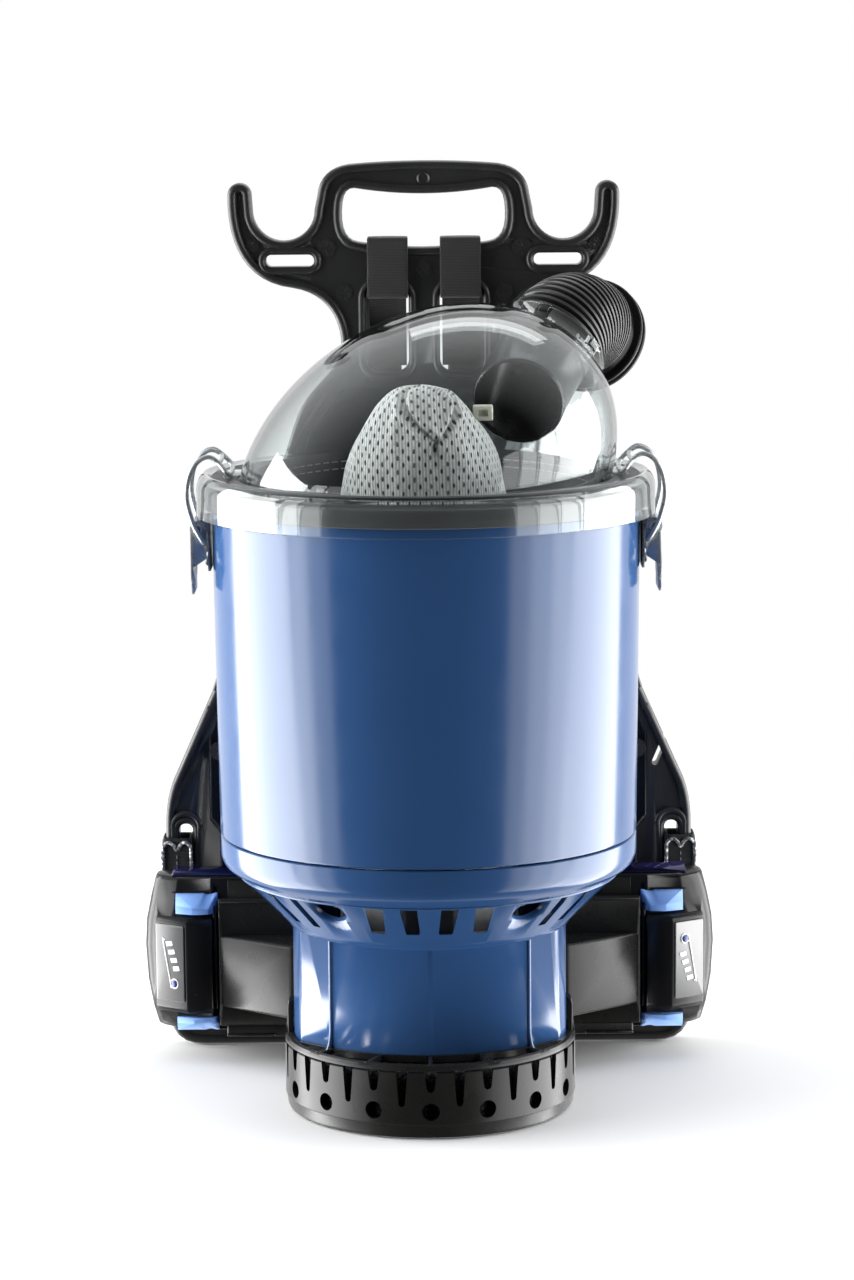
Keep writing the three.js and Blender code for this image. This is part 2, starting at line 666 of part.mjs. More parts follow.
// ---------------------------------------------------------------- webbing, pads and straps
// A flat band wrapped round a bar of the frame. Each box is [x low, y low, x high, y high].
function band(inner, outer, from, to) {
  const corners = ([x0, y0, x1, y1]) =>
    [[x0, y0], [x1, y0], [x1, y1], [x0, y1]].map(([x, y]) => new THREE.Vector2(x, y));
  const shape = new THREE.Shape(corners(outer));
  shape.holes.push(new THREE.Path(corners(inner)));
  return slab(shape, from, to);
}

// The shoulder bands hug the crossbar under the handle, the belt bands the frame's side bars.
const shoulderBand = band([141.6, 492, 160.4, 526], [138.8, 489, 163.2, 528.6], 0, 26)
  .rotateX(Math.PI / 2).rotateZ(Math.PI / 2).translate(10.3, 0, 0);
addPair('shoulder_band', shoulderBand, paint.webbing);
const beltBand = band([157, 141.6, 172.1, 160.4], [154.4, 138.8, 174.4, 163.2], 74, 139);
addPair('belt_band', beltBand, paint.webbing);

add('back_pad', slab(roundedRectangle(0, 169.5, 124, 18, 6), 120, 400), paint.darkCloth);

// Each shoulder strap's side view: down from the crossbar, out over the pad, and down it.
const strapSide = outline([
  [163.6, 514], [168, 514], [184, 425], [190, 400], [190, 150], [179, 150], [179, 402], [163.6, 440],
]);
const shoulderStrap = slab(strapSide, 0, 40)
  .rotateX(Math.PI / 2).rotateZ(Math.PI / 2).translate(12, 0, 0);
addPair('shoulder_strap', shoulderStrap, paint.darkCloth);
addPair('hip_pad', slab(roundedRectangle(116, 171, 96, 14, 5), 70, 140), paint.darkCloth);

export default part;
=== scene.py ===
"""Looks for the battery backpack vacuum cleaner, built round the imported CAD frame.

Outlines and profiles are in millimetres in the CAD frame (+Z up, the canister faces -Y) and
become metres when a mesh is made.
"""
import math
import random

import bmesh
import bpy
from mathutils import Matrix, Vector


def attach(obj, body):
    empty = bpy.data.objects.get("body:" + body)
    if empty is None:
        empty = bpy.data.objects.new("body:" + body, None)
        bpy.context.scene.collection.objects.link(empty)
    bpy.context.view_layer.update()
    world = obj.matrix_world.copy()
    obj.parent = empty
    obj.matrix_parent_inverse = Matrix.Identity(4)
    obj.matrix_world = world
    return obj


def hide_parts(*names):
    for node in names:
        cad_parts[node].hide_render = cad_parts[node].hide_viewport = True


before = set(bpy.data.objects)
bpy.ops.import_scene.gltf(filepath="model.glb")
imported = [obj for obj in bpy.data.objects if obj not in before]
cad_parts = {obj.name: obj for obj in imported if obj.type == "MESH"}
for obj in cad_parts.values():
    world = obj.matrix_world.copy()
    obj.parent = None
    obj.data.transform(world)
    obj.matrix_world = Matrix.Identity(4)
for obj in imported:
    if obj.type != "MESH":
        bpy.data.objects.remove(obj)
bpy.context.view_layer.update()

MM = 0.001
TAU = math.tau
SCENE = bpy.context.scene
SIDES = (("right", 1), ("left", -1))


# ------------------------------------------------------------------ camera
def camera_like_the_photograph():
    """A long lens in front of the canister, looking a little down."""
    place, look_down, lean = (0, -2.320, 0.634), math.radians(8.445), -0.0083
    data = bpy.data.cameras.new("camera")
    data.lens = 107.94
    data.sensor_width = 36.0
    data.clip_end = 50
    camera = bpy.data.objects.new("camera", data)
    pitch = Matrix.Rotation(TAU / 4 - look_down, 4, "X")
    camera.matrix_world = Matrix.Translation(place) @ pitch @ Matrix.Rotation(lean, 4, "Z")
    SCENE.collection.objects.link(camera)
    SCENE.camera = camera
    SCENE.view_settings.view_transform = "Standard"


camera_like_the_photograph()


# ------------------------------------------------------------------ mesh helpers
def link(name, mesh):
    obj = bpy.data.objects.new(name, mesh)
    SCENE.collection.objects.link(obj)
    return obj


def make(name, points, faces, smooth=40):
    """An object from points in millimetres. Edges sharper than smooth degrees stay crisp."""
    mesh = bpy.data.meshes.new(name)
    mesh.from_pydata([tuple(c * MM for c in p) for p in points], [], faces)
    tidy = bmesh.new()
    tidy.from_mesh(mesh)
    bmesh.ops.remove_doubles(tidy, verts=tidy.verts, dist=1e-7)
    bmesh.ops.recalc_face_normals(tidy, faces=tidy.faces)
    tidy.to_mesh(mesh)
    tidy.free()
    return shade(link(name, mesh), smooth)


def shade(obj, smooth=40):
    obj.data.shade_smooth()
    obj.data.set_sharp_from_angle(angle=math.radians(smooth))
    return obj


def bake(obj, smooth=40):
    """Apply an object's modifiers to its mesh."""
    graph = bpy.context.evaluated_depsgraph_get()
    graph.update()
    mesh = bpy.data.meshes.new_from_object(obj.evaluated_get(graph))
    obj.modifiers.clear()
    obj.data = mesh
    return shade(obj, smooth)


def boolean(obj, operation, *others):
    for other in others:
        modifier = obj.modifiers.new(operation, "BOOLEAN")
        modifier.operation = operation
        modifier.solver = "MANIFOLD"
        modifier.object = other
        bake(obj)
        bpy.data.objects.remove(other)
    return obj


def cut(obj, *tools):
    return boolean(obj, "DIFFERENCE", *tools)


def fuse(obj, *others):
    return boolean(obj, "UNION", *others)


def join(name, *objects):
    """Several meshes as one piece, each keeping its own material."""
    base = objects[0]
    with bpy.context.temp_override(active_object=base, selected_editable_objects=list(objects)):
        bpy.ops.object.join()
    base.name = name
    return base


def soften(obj, width, segments=2, angle=35):
    """Round the edges sharper than an angle."""
    modifier = obj.modifiers.new("soft edges", "BEVEL")
    modifier.width = width * MM
    modifier.segments = segments
    modifier.limit_method = "ANGLE"
    modifier.angle_limit = math.radians(angle)
    modifier.harden_normals = True
    return bake(obj, 50)


def lathe(name, profile, segments=128, smooth=32):
    """Turn a closed profile of (radius, height) about +Z."""
    points, faces = [], []
    for i in range(segments):
        angle = TAU * i / segments
        points += [(r * math.cos(angle), r * math.sin(angle), z) for r, z in profile]
    count = len(profile)
    for i in range(segments):
        a, b = i * count, ((i + 1) % segments) * count
        for k in range(count):
            n = (k + 1) % count
            if profile[k][0] > 0 or profile[n][0] > 0:
                faces.append(trim([a + k, b + k, b + n, a + n], points))
    return make(name, points, faces, smooth)


def trim(face, points):
    """A face without corners that fall on each other."""
    kept = []
    for corner in face:
        if not kept or any(abs(points[corner][i] - points[kept[-1]][i]) > 1e-6 for i in range(3)):
            kept.append(corner)
    if all(abs(points[kept[0]][i] - points[kept[-1]][i]) < 1e-6 for i in range(3)):
        kept.pop()
    return kept


def prism(name, outline, low, high, axis="z", smooth=35):
    """A flat outline extruded from low to high along an axis."""
    place = {
        "z": lambda a, b, h: (a, b, h),
        "y": lambda a, b, h: (a, h, b),
        "x": lambda a, b, h: (h, a, b),
    }[axis]
    count = len(outline)
    points = [place(a, b, low) for a, b in outline] + [place(a, b, high) for a, b in outline]
    faces = [[i, (i + 1) % count, count + (i + 1) % count, count + i] for i in range(count)]
    faces += [list(range(count)), list(range(count, 2 * count))]
    return make(name, points, faces, smooth)


def rounded(x, y, width, height, radius, steps=6):
    """A rectangle with rounded corners, centred on (x, y)."""
    w, h = width / 2 - radius, height / 2 - radius
    corners = ((x + w, y + h, 0), (x - w, y + h, 1), (x - w, y - h, 2), (x + w, y - h, 3))
    turns = [(cx, cy, (q + k / steps) * TAU / 4) for cx, cy, q in corners for k in range(steps + 1)]
    return [(cx + radius * math.cos(turn), cy + radius * math.sin(turn)) for cx, cy, turn in turns]


def block(name, low, high, radius=0.8, segments=2):
    """A box with softened edges."""
    outline = [(low[0], low[1]), (high[0], low[1]), (high[0], high[1]), (low[0], high[1])]
    return soften(prism(name, outline, low[2], high[2]), radius, segments)


def skin(name, rows, closed=True, caps=True, smooth=40):
    """Join rows of points; each row is a loop, or an open line when closed is false."""
    count = len(rows[0])
    points = [p for row in rows for p in row]
    faces = []
    for r in range(len(rows) - 1):
        for i in range(count if closed else count - 1):
            n = (i + 1) % count
            faces.append([r * count + i, r * count + n, (r + 1) * count + n, (r + 1) * count + i])
    if caps and closed:
        faces += [list(range(count)), list(range(len(points) - count, len(points)))]
    return make(name, points, faces, smooth)


def frames_along(path, loop=False):
    """A point, direction and two cross directions at each step of a path, without twist."""
    path = [Vector(p) for p in path]
    last = len(path) - 1
    across = None
    for i, point in enumerate(path):
        before = path[i - 1] if i or loop else path[0]
        after = path[(i + 1) % len(path)] if i < last or loop else path[last]
        tangent = (after - before).normalized()
        if across is None:
            guide = Vector((0, 0, 1)) if abs(tangent.z) < 0.9 else Vector((1, 0, 0))
            across = guide.cross(tangent).normalized()
        across = (across - tangent * across.dot(tangent)).normalized()
        yield point, tangent, across, tangent.cross(across)


def circle_across(station, radius, sides):
    """A circle of points square to a path, at one of frames_along's stations."""
    point, _, across, up = station
    turns = (TAU * k / sides for k in range(sides))
    return [tuple(point + across * radius * math.cos(a) + up * radius * math.sin(a)) for a in turns]


def sweep(name, path, radius, sides=10, loop=False):
    """A round bar along a path."""
    rows = [circle_across(station, radius, sides) for station in frames_along(path, loop)]
    if loop:
        rows.append(rows[0])
    return skin(name, rows, caps=not loop)


def squarish(turn, power):
    """A point on a rounded square of half width 1; a smaller power is squarer."""
    return [math.copysign(abs(c) ** power, c) for c in (math.cos(turn), math.sin(turn))]


def bezier(points, steps=12):
    """Points on a Bezier curve of any degree."""
    def at(t):
        level = [Vector(p) for p in points]
        while len(level) > 1:
            level = [a.lerp(b, t) for a, b in zip(level, level[1:])]
        return tuple(level[0])
    return [at(i / steps) for i in range(steps + 1)]


def arc(x, y, radius, start, end, steps=10):
    """Points on an arc in a plane, with its angles in degrees."""
    angles = (math.radians(start + (end - start) * i / steps) for i in range(steps + 1))
    return [(x + radius * math.cos(a), y + radius * math.sin(a)) for a in angles]


def smooth_path(points, steps=8, loop=False):
    """A smooth curve through a few chosen points."""
    points = [Vector(p) for p in points]
    count = len(points)
    pick = (lambda i: points[i % count]) if loop else (lambda i: points[min(max(i, 0), count - 1)])
    path = []
    for i in range(count if loop else count - 1):
        p0, p1, p2, p3 = (pick(i + k) for k in (-1, 0, 1, 2))
        for s in range(steps):
            t = s / steps
            path.append(0.5 * (2 * p1 + (p2 - p0) * t + (2 * p0 - 5 * p1 + 4 * p2 - p3) * t ** 2
                               + (3 * p1 - p0 - 3 * p2 + p3) * t ** 3))
    if not loop:
        path.append(points[-1])
    return path


def moved(obj, matrix):
    """Move the mesh itself, so that the object stays at the origin."""
    obj.data.transform(matrix)
    obj.data.update()
    return obj


def shifted(obj, x=0.0, y=0.0, z=0.0):
    return moved(obj, Matrix.Translation((x * MM, y * MM, z * MM)))


def turned_to(obj, point, axis):
    """Stand a piece that was made about +Z at a point, along an axis."""
    turn = Vector((0, 0, 1)).rotation_difference(Vector(axis).normalized()).to_matrix().to_4x4()
    return moved(obj, Matrix.Translation(Vector(point) * MM) @ turn)


def spun(obj, degrees, axis="Z"):
    return moved(obj, Matrix.Rotation(math.radians(degrees), 4, axis))


def on_side(obj, sign):
    """Leave a piece at +X, or turn its mesh over to -X."""
    if sign < 0:
        obj.data.transform(Matrix.Scale(-1, 4, (1, 0, 0)))
        obj.data.flip_normals()
    return obj


def side_block(name, side, low, high, radius):
    """A block given at +X, made on the side wanted."""
    xs = sorted((side * low[0], side * high[0]))
    return block(name, (xs[0], *low[1:]), (xs[1], *high[1:]), radius)


def fit(obj, body, look, *nodes):
    """Give a piece its body and its look's material, and hide the CAD nodes it stands for."""
    slot, material = LOOKS[look]
    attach(obj, body)
    obj.data.materials.clear()
    obj.data.materials.append(material)
    if nodes:
        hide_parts(*nodes)


# ------------------------------------------------------------------ materials
class Nodes:
    """A short way to build one material's node tree."""

    def __init__(self, name):
        self.material = bpy.data.materials.new(name)
        self.material.use_nodes = True
        self.tree = self.material.node_tree
        self.shader = self.tree.nodes["Principled BSDF"]
        self.place = self.add("ShaderNodeTexCoord").outputs["Object"]

    def add(self, kind, **values):
        node = self.tree.nodes.new(kind)
        for key, value in values.items():
            setattr(node, key, value)
        return node

    def join(self, source, target):
        self.tree.links.new(source, target)

    def set(self, **sockets):
        for key, value in sockets.items():
            self.shader.inputs[key.replace("_", " ")].default_value = value

    def noise(self, scale, detail=3.0, stretch=(1, 1, 1), place=None):
        mapping = self.add("ShaderNodeMapping")
        mapping.inputs["Scale"].default_value = stretch
        self.join(place or self.place, mapping.inputs["Vector"])
        node = self.add("ShaderNodeTexNoise")
        node.inputs["Scale"].default_value = scale
        node.inputs["Detail"].default_value = detail
        self.join(mapping.outputs["Vector"], node.inputs["Vector"])
        return node.outputs["Fac"]

    def cells(self, scale):
        node = self.add("ShaderNodeTexVoronoi")
        node.inputs["Scale"].default_value = scale
        self.join(self.place, node.inputs["Vector"])
        return node.outputs["Distance"]

    def wave(self, scale, direction, place=None):
        node = self.add("ShaderNodeTexWave", bands_direction=direction)
        node.inputs["Scale"].default_value = scale
        self.join(place or self.place, node.inputs["Vector"])
        return node.outputs["Fac"]

    def spread(self, value, low, high, start=0.3, end=0.7):
        """Turn a pattern's start..end into low..high."""
        node = self.add("ShaderNodeMapRange")
        for key, number in (("From Min", start), ("From Max", end), ("To Min", low), ("To Max", high)):
            node.inputs[key].default_value = number
        self.join(value, node.inputs["Value"])
        return node.outputs["Result"]

    def gloss(self, pattern, roughness, low, high):
        """Let a pattern vary the roughness between two shares of it."""
        self.join(self.spread(pattern, roughness * low, roughness * high), self.shader.inputs["Roughness"])

    def math(self, operation, a, b=0):
        node = self.add("ShaderNodeMath", operation=operation)
        for socket, value in zip(node.inputs, (a, b)):
            if isinstance(value, (int, float)):
                socket.default_value = value
            else:
                self.join(value, socket)
        return node.outputs["Value"]

    def colours(self, value, *stops):
        """Colour from a pattern. Each stop is (position, (r, g, b))."""
        node = self.add("ShaderNodeValToRGB")
        ramp = node.color_ramp
        while len(ramp.elements) < len(stops):
            ramp.elements.new(0.5)
        for element, (position, colour) in zip(ramp.elements, stops):
            element.position = position
            element.color = (*colour, 1)
        self.join(value, node.inputs["Fac"])
        self.join(node.outputs["Color"], self.shader.inputs["Base Color"])

    def bump(self, value, depth, after=None):
        """Relief of a depth in millimetres. after is an earlier relief's normal."""
        node = self.add("ShaderNodeBump")
        node.inputs["Strength"].default_value = 1.0
        node.inputs["Distance"].default_value = depth * MM
        self.join(value, node.inputs["Height"])
        if after:
            self.join(after, node.inputs["Normal"])
        self.join(node.outputs["Normal"], self.shader.inputs["Normal"])
        return node.outputs["Normal"]


def scaled(colour, factor):
    return tuple(min(1.0, c * factor) for c in colour)


def plastic(name, colour, roughness, grain=0.012, grain_scale=900, vary=0.12, **sockets):
    """Moulded plastic: slight colour and gloss variation, fine grain, faint flow ripples."""
    n = Nodes(name)
    n.set(**sockets)
    n.colours(n.noise(14, 4), (0.3, scaled(colour, 1 - vary)), (0.7, scaled(colour, 1 + vary)))
    n.gloss(n.noise(55, 5), roughness, 0.85, 1.2)
    ripple = n.bump(n.noise(9, 1), 0.02)
    n.bump(n.noise(grain_scale, 2), grain, ripple)
    return n.material


def metal(name, colour, roughness, brush=(1, 1, 1), metallic=1.0):
    """Plated steel: bright, with faint blotches and fine brushing."""
    n = Nodes(name)
    n.set(Metallic=metallic)
    n.colours(n.noise(120, 4), (0.25, scaled(colour, 0.8)), (0.75, scaled(colour, 1.1)))
    n.gloss(n.noise(260, 4, brush), roughness, 0.7, 1.5)
    n.bump(n.noise(900, 3, brush), 0.012)
    return n.material


def webbing(name, colour):
    """Flat woven strap: ribs across it and a herringbone of fine yarns, on the strap's own map."""
    n = Nodes(name)
    n.set(Roughness=0.82, Sheen_Weight=0.25, Sheen_Roughness=0.4)
    along = n.add("ShaderNodeUVMap").outputs["UV"]
    ribs = n.wave(0.32, "Y", along)
    yarns = n.wave(0.55, "X", along)
    weave = n.math("MULTIPLY", ribs, yarns)
    n.colours(weave, (0.1, scaled(colour, 0.45)), (0.8, scaled(colour, 1.5)))
    n.bump(n.math("ADD", weave, n.math("MULTIPLY", n.noise(2500, 2), 0.3)), 0.22)
    return n.material


def padding_cloth(name, colour):
    """Tight woven cover cloth, with threads both ways and slight fading."""
    n = Nodes(name)
    n.set(Roughness=0.9, Sheen_Weight=0.3, Sheen_Roughness=0.5)
    threads = n.math("MULTIPLY", n.wave(260, "X"), n.wave(260, "Z"))
    fade = n.noise(25, 4)
    n.colours(n.math("ADD", n.math("MULTIPLY", threads, 0.5), n.math("MULTIPLY", fade, 0.6)),
              (0.15, scaled(colour, 0.6)), (0.85, scaled(colour, 1.7)))
    wrinkles = n.bump(n.noise(38, 5), 0.5)
    n.bump(threads, 0.12, wrinkles)
    return n.material


def knitted_filter(name):
    """Grey filter cloth with staggered rows of small upright perforations, in millimetres; the perforations
    are painted near black as painted shade inside the holes.
    """
    lane_width, pitch = 3.35, 8.7
    n = Nodes(name)
    n.set(Roughness=0.92, Sheen_Weight=0.2, Sheen_Roughness=0.5)
    uv = n.add("ShaderNodeUVMap").outputs["UV"]
    parts = n.add("ShaderNodeSeparateXYZ")
    n.join(uv, parts.inputs["Vector"])
    lanes = n.math("MULTIPLY", parts.outputs["X"], 1 / lane_width)
    stagger = n.math("MULTIPLY", n.math("MODULO", n.math("ABSOLUTE", n.math("FLOOR", lanes)), 2.0), 0.5)
    down = n.math("ADD", n.math("MULTIPLY", parts.outputs["Y"], 1 / pitch), stagger)

    def squared_distance(cell, narrowing):
        off_centre = n.math("ABSOLUTE", n.math("SUBTRACT", n.math("FRACT", cell), 0.5))
        return n.math("POWER", n.math("MULTIPLY", off_centre, narrowing), 2.0)

    reach = n.math("ADD", squared_distance(lanes, 4.6), squared_distance(down, 5.8))
    cloth = n.spread(reach, 0.0, 1.0, 0.55, 1.5)
    loops = n.math("MULTIPLY", n.wave(0.157, "X", uv), n.noise(420, 3))
    tone = n.math("ADD", n.math("MULTIPLY", cloth, 0.62), n.math("MULTIPLY", loops, 0.55))
    # painted shade: the perforation centres are near black, standing in for the shade inside the holes
    n.colours(tone, (0.12, (0.02, 0.02, 0.02)), (0.6, (0.24, 0.24, 0.235)), (0.95, (0.52, 0.52, 0.505)))
    n.bump(n.noise(700, 4), 0.2, n.bump(cloth, 0.8))
    return n.material


def foam(name, colour=(0.012, 0.012, 0.013)):
    """Open-cell foam: dark pits between thin walls, the dark being painted shade of the pits."""
    n = Nodes(name)
    n.set(Roughness=0.95)
    cells = n.cells(420)
    # painted shade: the colour darkens across the cell pattern, standing in for the shade in the foam's pits
    n.colours(cells, (0.1, scaled(colour, 3.5)), (0.6, scaled(colour, 0.3)))
    n.bump(cells, 1.6)
    return n.material


def clear_plastic(name, tint=(0.965, 0.985, 0.985), roughness=0.03):
    """Thin clear moulding: what is behind it shows, and it mirrors the lights at its edges."""
    n = Nodes(name)
    n.set(IOR=1.5)
    n.colours(n.noise(20, 2), (0.3, scaled(tint, 0.98)), (0.7, tint))
    n.gloss(n.noise(30, 4), roughness, 0.6, 1.6)
    n.bump(n.noise(26, 2), 0.05)
    output = n.tree.nodes["Material Output"]
    seen = n.add("ShaderNodeBsdfTransparent")
    inside = n.add("ShaderNodeNewGeometry").outputs["Backfacing"]
    edge = n.add("ShaderNodeFresnel")
    n.join(n.spread(inside, 1.5, 1 / 1.5, 0.0, 1.0), edge.inputs["IOR"])
    rim = n.add("ShaderNodeValToRGB")
    straight, grazing = rim.color_ramp.elements
    straight.position, straight.color = 0.06, (*tint, 1)
    grazing.position, grazing.color = 0.55, (*scaled(tint, 0.42), 1)
    n.join(edge.outputs["Fac"], rim.inputs["Fac"])
    n.join(rim.outputs["Color"], seen.inputs["Color"])
    mix = n.add("ShaderNodeMixShader")
    n.join(edge.outputs["Fac"], mix.inputs["Fac"])
    n.join(seen.outputs["BSDF"], mix.inputs[1])
    n.set(Metallic=1.0)
    n.join(n.shader.outputs["BSDF"], mix.inputs[2])
    n.join(mix.outputs["Shader"], output.inputs["Surface"])
    return n.material


BLUE = (0.022, 0.063, 0.168)
LOOKS = {  # each look's record slot and material; None where only a kept CAD node wears it
    "blue": ("canister_blue", plastic("canister_gloss_blue", BLUE, 0.16, grain=0.002, vary=0.03)),
    "frame": ("frame_black",
        plastic("frame_satin_black", (0.017, 0.017, 0.018), 0.36, grain=0.03, grain_scale=1400)),
    "black": ("black_plastic",
        plastic("satin_black", (0.011, 0.011, 0.0105), 0.28, grain=0.01, Specular_IOR_Level=0.25)),
    "cap": ("black_plastic",
        plastic("battery_gloss_black", (0.010, 0.010, 0.011), 0.24, grain=0.006, Specular_IOR_Level=0.22)),
    "rubber": ("cuff_rubber",
        plastic("cuff_rubber", (0.010, 0.010, 0.010), 0.42, grain=0.03, grain_scale=1500)),
    "seal": ("seal_rubber", plastic("seal_rubber", (0.045, 0.045, 0.048), 0.5, grain=0.03)),
    "band": ("seal_rubber", plastic("satin_grey_band", (0.085, 0.085, 0.087), 0.12, grain=0.01)),
    "steel": ("zinc_steel", metal("zinc_plated_steel", (0.42, 0.44, 0.46), 0.3, metallic=0.5)),
    "motor": (None, metal("motor_alloy", (0.55, 0.56, 0.57), 0.4, (1, 1, 12))),
    "brass": (None, metal("contact_brass", (0.72, 0.5, 0.22), 0.3)),
    "clear": ("clear_plastic", clear_plastic("clear_moulding")),
    "cloth": ("filter_cloth", knitted_filter("grey_filter_cloth")),
    "collar": ("dark_cloth", padding_cloth("collar_cloth", (0.022, 0.022, 0.024))),
    "pad": ("pad_foam", padding_cloth("pad_cloth", (0.024, 0.024, 0.027))),
    "foam": ("filter_foam", foam("exhaust_foam")),
    "webbing": ("webbing", webbing("black_webbing", (0.016, 0.016, 0.017))),
    "thread": ("dark_cloth", plastic("grey_thread", (0.20, 0.20, 0.21), 0.7, grain=0.05, grain_scale=2500)),
    "lining": ("pad_foam", foam("pale_edge_foam", (0.55, 0.54, 0.52))),
    "button": ("button_blue", plastic("latch_button_blue", (0.22, 0.40, 0.80), 0.3, vary=0.06)),
    "label": ("label_blue", plastic("blank_label", (0.012, 0.010, 0.055), 0.14, grain=0.003, vary=0.5)),
    "gauge": ("gauge_grey", plastic("gauge_grey", (0.17, 0.17, 0.17), 0.35, grain=0.004)),
    "mark": ("gauge_grey", plastic("gauge_print_white", (0.82, 0.83, 0.84), 0.4)),
    "navy": ("gauge_grey", plastic("gauge_button_blue", (0.02, 0.03, 0.16), 0.25)),
    "board": (None, plastic("circuit_board", (0.01, 0.09, 0.035), 0.45)),
    "bone": ("off_white_plastic", plastic("off_white_clip", (0.62, 0.60, 0.50), 0.45)),
}
LOOKS["belt_thread"] = ("webbing", LOOKS["thread"][1])


# ------------------------------------------------------------------ studio
def new_nodes(tree, *kinds):
    return [tree.nodes.new(f"ShaderNode{kind}") for kind in kinds]


def wire(tree, *pairs):
    for source, target in pairs:
        tree.links.new(source, target)


def floor_material(clear_from, clear_to):
    """Pale matt floor that fades away between two distances from the middle."""
    material = bpy.data.materials.new("pale_floor")
    material.use_nodes = True
    tree = material.node_tree
    shader = tree.nodes["Principled BSDF"]
    shader.inputs["Roughness"].default_value = 0.9
    shader.inputs["Specular IOR Level"].default_value = 0.0
    mottle, tint, place = new_nodes(tree, "TexNoise", "ValToRGB", "TexCoord")
    radius, fade, through, blend = new_nodes(tree, "VectorMath", "MapRange", "BsdfTransparent", "MixShader")
    mottle.inputs["Scale"].default_value = 3
    for element, grey in zip(tint.color_ramp.elements, (0.72, 0.75)):
        element.color = (grey, grey, grey, 1)
    radius.operation = "LENGTH"
    fade.inputs["From Min"].default_value = clear_from
    fade.inputs["From Max"].default_value = clear_to
    wire(tree, (mottle.outputs["Fac"], tint.inputs["Fac"]),
         (tint.outputs["Color"], shader.inputs["Base Color"]),
         (place.outputs["Object"], radius.inputs[0]), (radius.outputs["Value"], fade.inputs["Value"]),
         (fade.outputs["Result"], blend.inputs["Fac"]), (shader.outputs["BSDF"], blend.inputs[1]),
         (through.outputs["BSDF"], blend.inputs[2]),
         (blend.outputs["Shader"], tree.nodes["Material Output"].inputs["Surface"]))
    return material


def floor():
    """The floor is only seen: the glossy canister and the shade under it ignore it."""
    radius = 1.2
    bpy.ops.mesh.primitive_circle_add(vertices=96, radius=radius, fill_type="NGON",
                                      location=(0, 0, -0.0005))
    disc = bpy.context.object
    disc.name = "floor"
    disc.data.materials.append(floor_material(0.55, 1.15))
    disc.visible_glossy = False
    disc.visible_diffuse = False
    disc.visible_shadow = False


def room():
    """A room that is dim in front and bright behind; the camera sees a plain white backdrop."""
    world = bpy.data.worlds.new("studio")
    SCENE.world = world
    world.use_nodes = True
    tree = world.node_tree
    walls = tree.nodes["Background"]
    walls.inputs["Strength"].default_value = 1.1
    place, split, shift, ramp = new_nodes(tree, "TexCoord", "SeparateXYZ", "MapRange", "ValToRGB")
    backdrop, mix, path = new_nodes(tree, "Background", "MixShader", "LightPath")
    dim, bright = ramp.color_ramp.elements
    dim.position, dim.color = 0.34, (0.03, 0.03, 0.03, 1)
    bright.position, bright.color = 0.72, (1, 1, 1, 1)
    shift.inputs["From Min"].default_value = -1
    backdrop.inputs["Color"].default_value = (1, 1, 1, 1)
    backdrop.inputs["Strength"].default_value = 1.0
    wire(tree, (place.outputs["Generated"], split.inputs["Vector"]),
         (split.outputs["Y"], shift.inputs["Value"]), (shift.outputs["Result"], ramp.inputs["Fac"]),
         (ramp.outputs["Color"], walls.inputs["Color"]),
         (path.outputs["Is Camera Ray"], mix.inputs["Fac"]), (walls.outputs["Background"], mix.inputs[1]),
         (backdrop.outputs["Background"], mix.inputs[2]),
         (mix.outputs["Shader"], tree.nodes["World Output"].inputs["Surface"]))


def soft_box(name, place, width, height, radiance, mirrored=True):
    """A rectangular lamp that faces the canister."""
    data = bpy.data.lights.new(name, "AREA")
    data.shape = "RECTANGLE"
    data.size = width
    data.size_y = height
    data.energy = radiance * math.pi * width * height
    lamp = bpy.data.objects.new(name, data)
    lamp.location = place
    lamp.rotation_euler = (Vector((0, 0, 0.3)) - Vector(place)).to_track_quat("-Z", "Y").to_euler()
    lamp.visible_camera = False
    lamp.visible_glossy = mirrored
    SCENE.collection.objects.link(lamp)


def side_boxes():
    """Tall soft boxes, which the canister mirrors as upright streaks.

    Each has an azimuth in degrees, round from the front towards the right, a width and a radiance."""
    away, middle, height = 2.2, -0.1, 3.2
    for name, azimuth, width, radiance in (
        ("left_box", -101, 1.95, 10.5), ("left_edge", -70, 0.42, 6.5), ("left_front", -58, 0.46, 2.4),
        ("right_box", 104, 1.75, 8.0), ("right_edge", 75, 0.5, 6.5), ("right_middle", 62, 0.46, 4.6),
        ("right_front", 50, 0.46, 2.4),
    ):
        turn = math.radians(azimuth)
        soft_box(name, (away * math.sin(turn), -away * math.cos(turn), middle), width, height, radiance)


floor()
room()
side_boxes()
soft_box("left_soft", (-2.1, -0.2, 1.5), 2.6, 2.6, 2.6, False)
soft_box("right_soft", (2.1, 0.4, 1.5), 2.6, 2.6, 1.0, False)
soft_box("top_soft", (0, 0.3, 2.6), 2.6, 2.0, 1.6, False)
soft_box("crest_box", (0.3, 1.9, 2.4), 1.8, 0.5, 3.0)


# ------------------------------------------------------------------ canister and motor housing
CAN = {"top": 382.0, "bottom": 172.6, "r_top": 130.2, "r_bottom": 127.7, "wall": 3.0}
NECK = {"big": 84.2, "front": 100.0, "centre": 35.0, "panel": 60.0, "shoulder": 20.0, "wall": 3.0,
        "floor": 42.1}


def canister():
    r0, r1, low, top, wall = CAN["r_bottom"], CAN["r_top"], CAN["bottom"], CAN["top"], CAN["wall"]
    shell = lathe("canister_shell", [
        (r0 - 1.6, low), (r0 - 0.5, low + 0.5), (r0, low + 1.7), (r1, top - 0.8), (r1 - 0.8, top),
        (r1 - wall + 0.6, top), (r1 - wall, top - 0.8), (r0 - wall, low + 4.4), (r0 - wall - 1, low + 3.4),
        (105, low + 3.4), (105, low),
    ], 192)
    fit(shell, "base", "blue", "canister_shell")


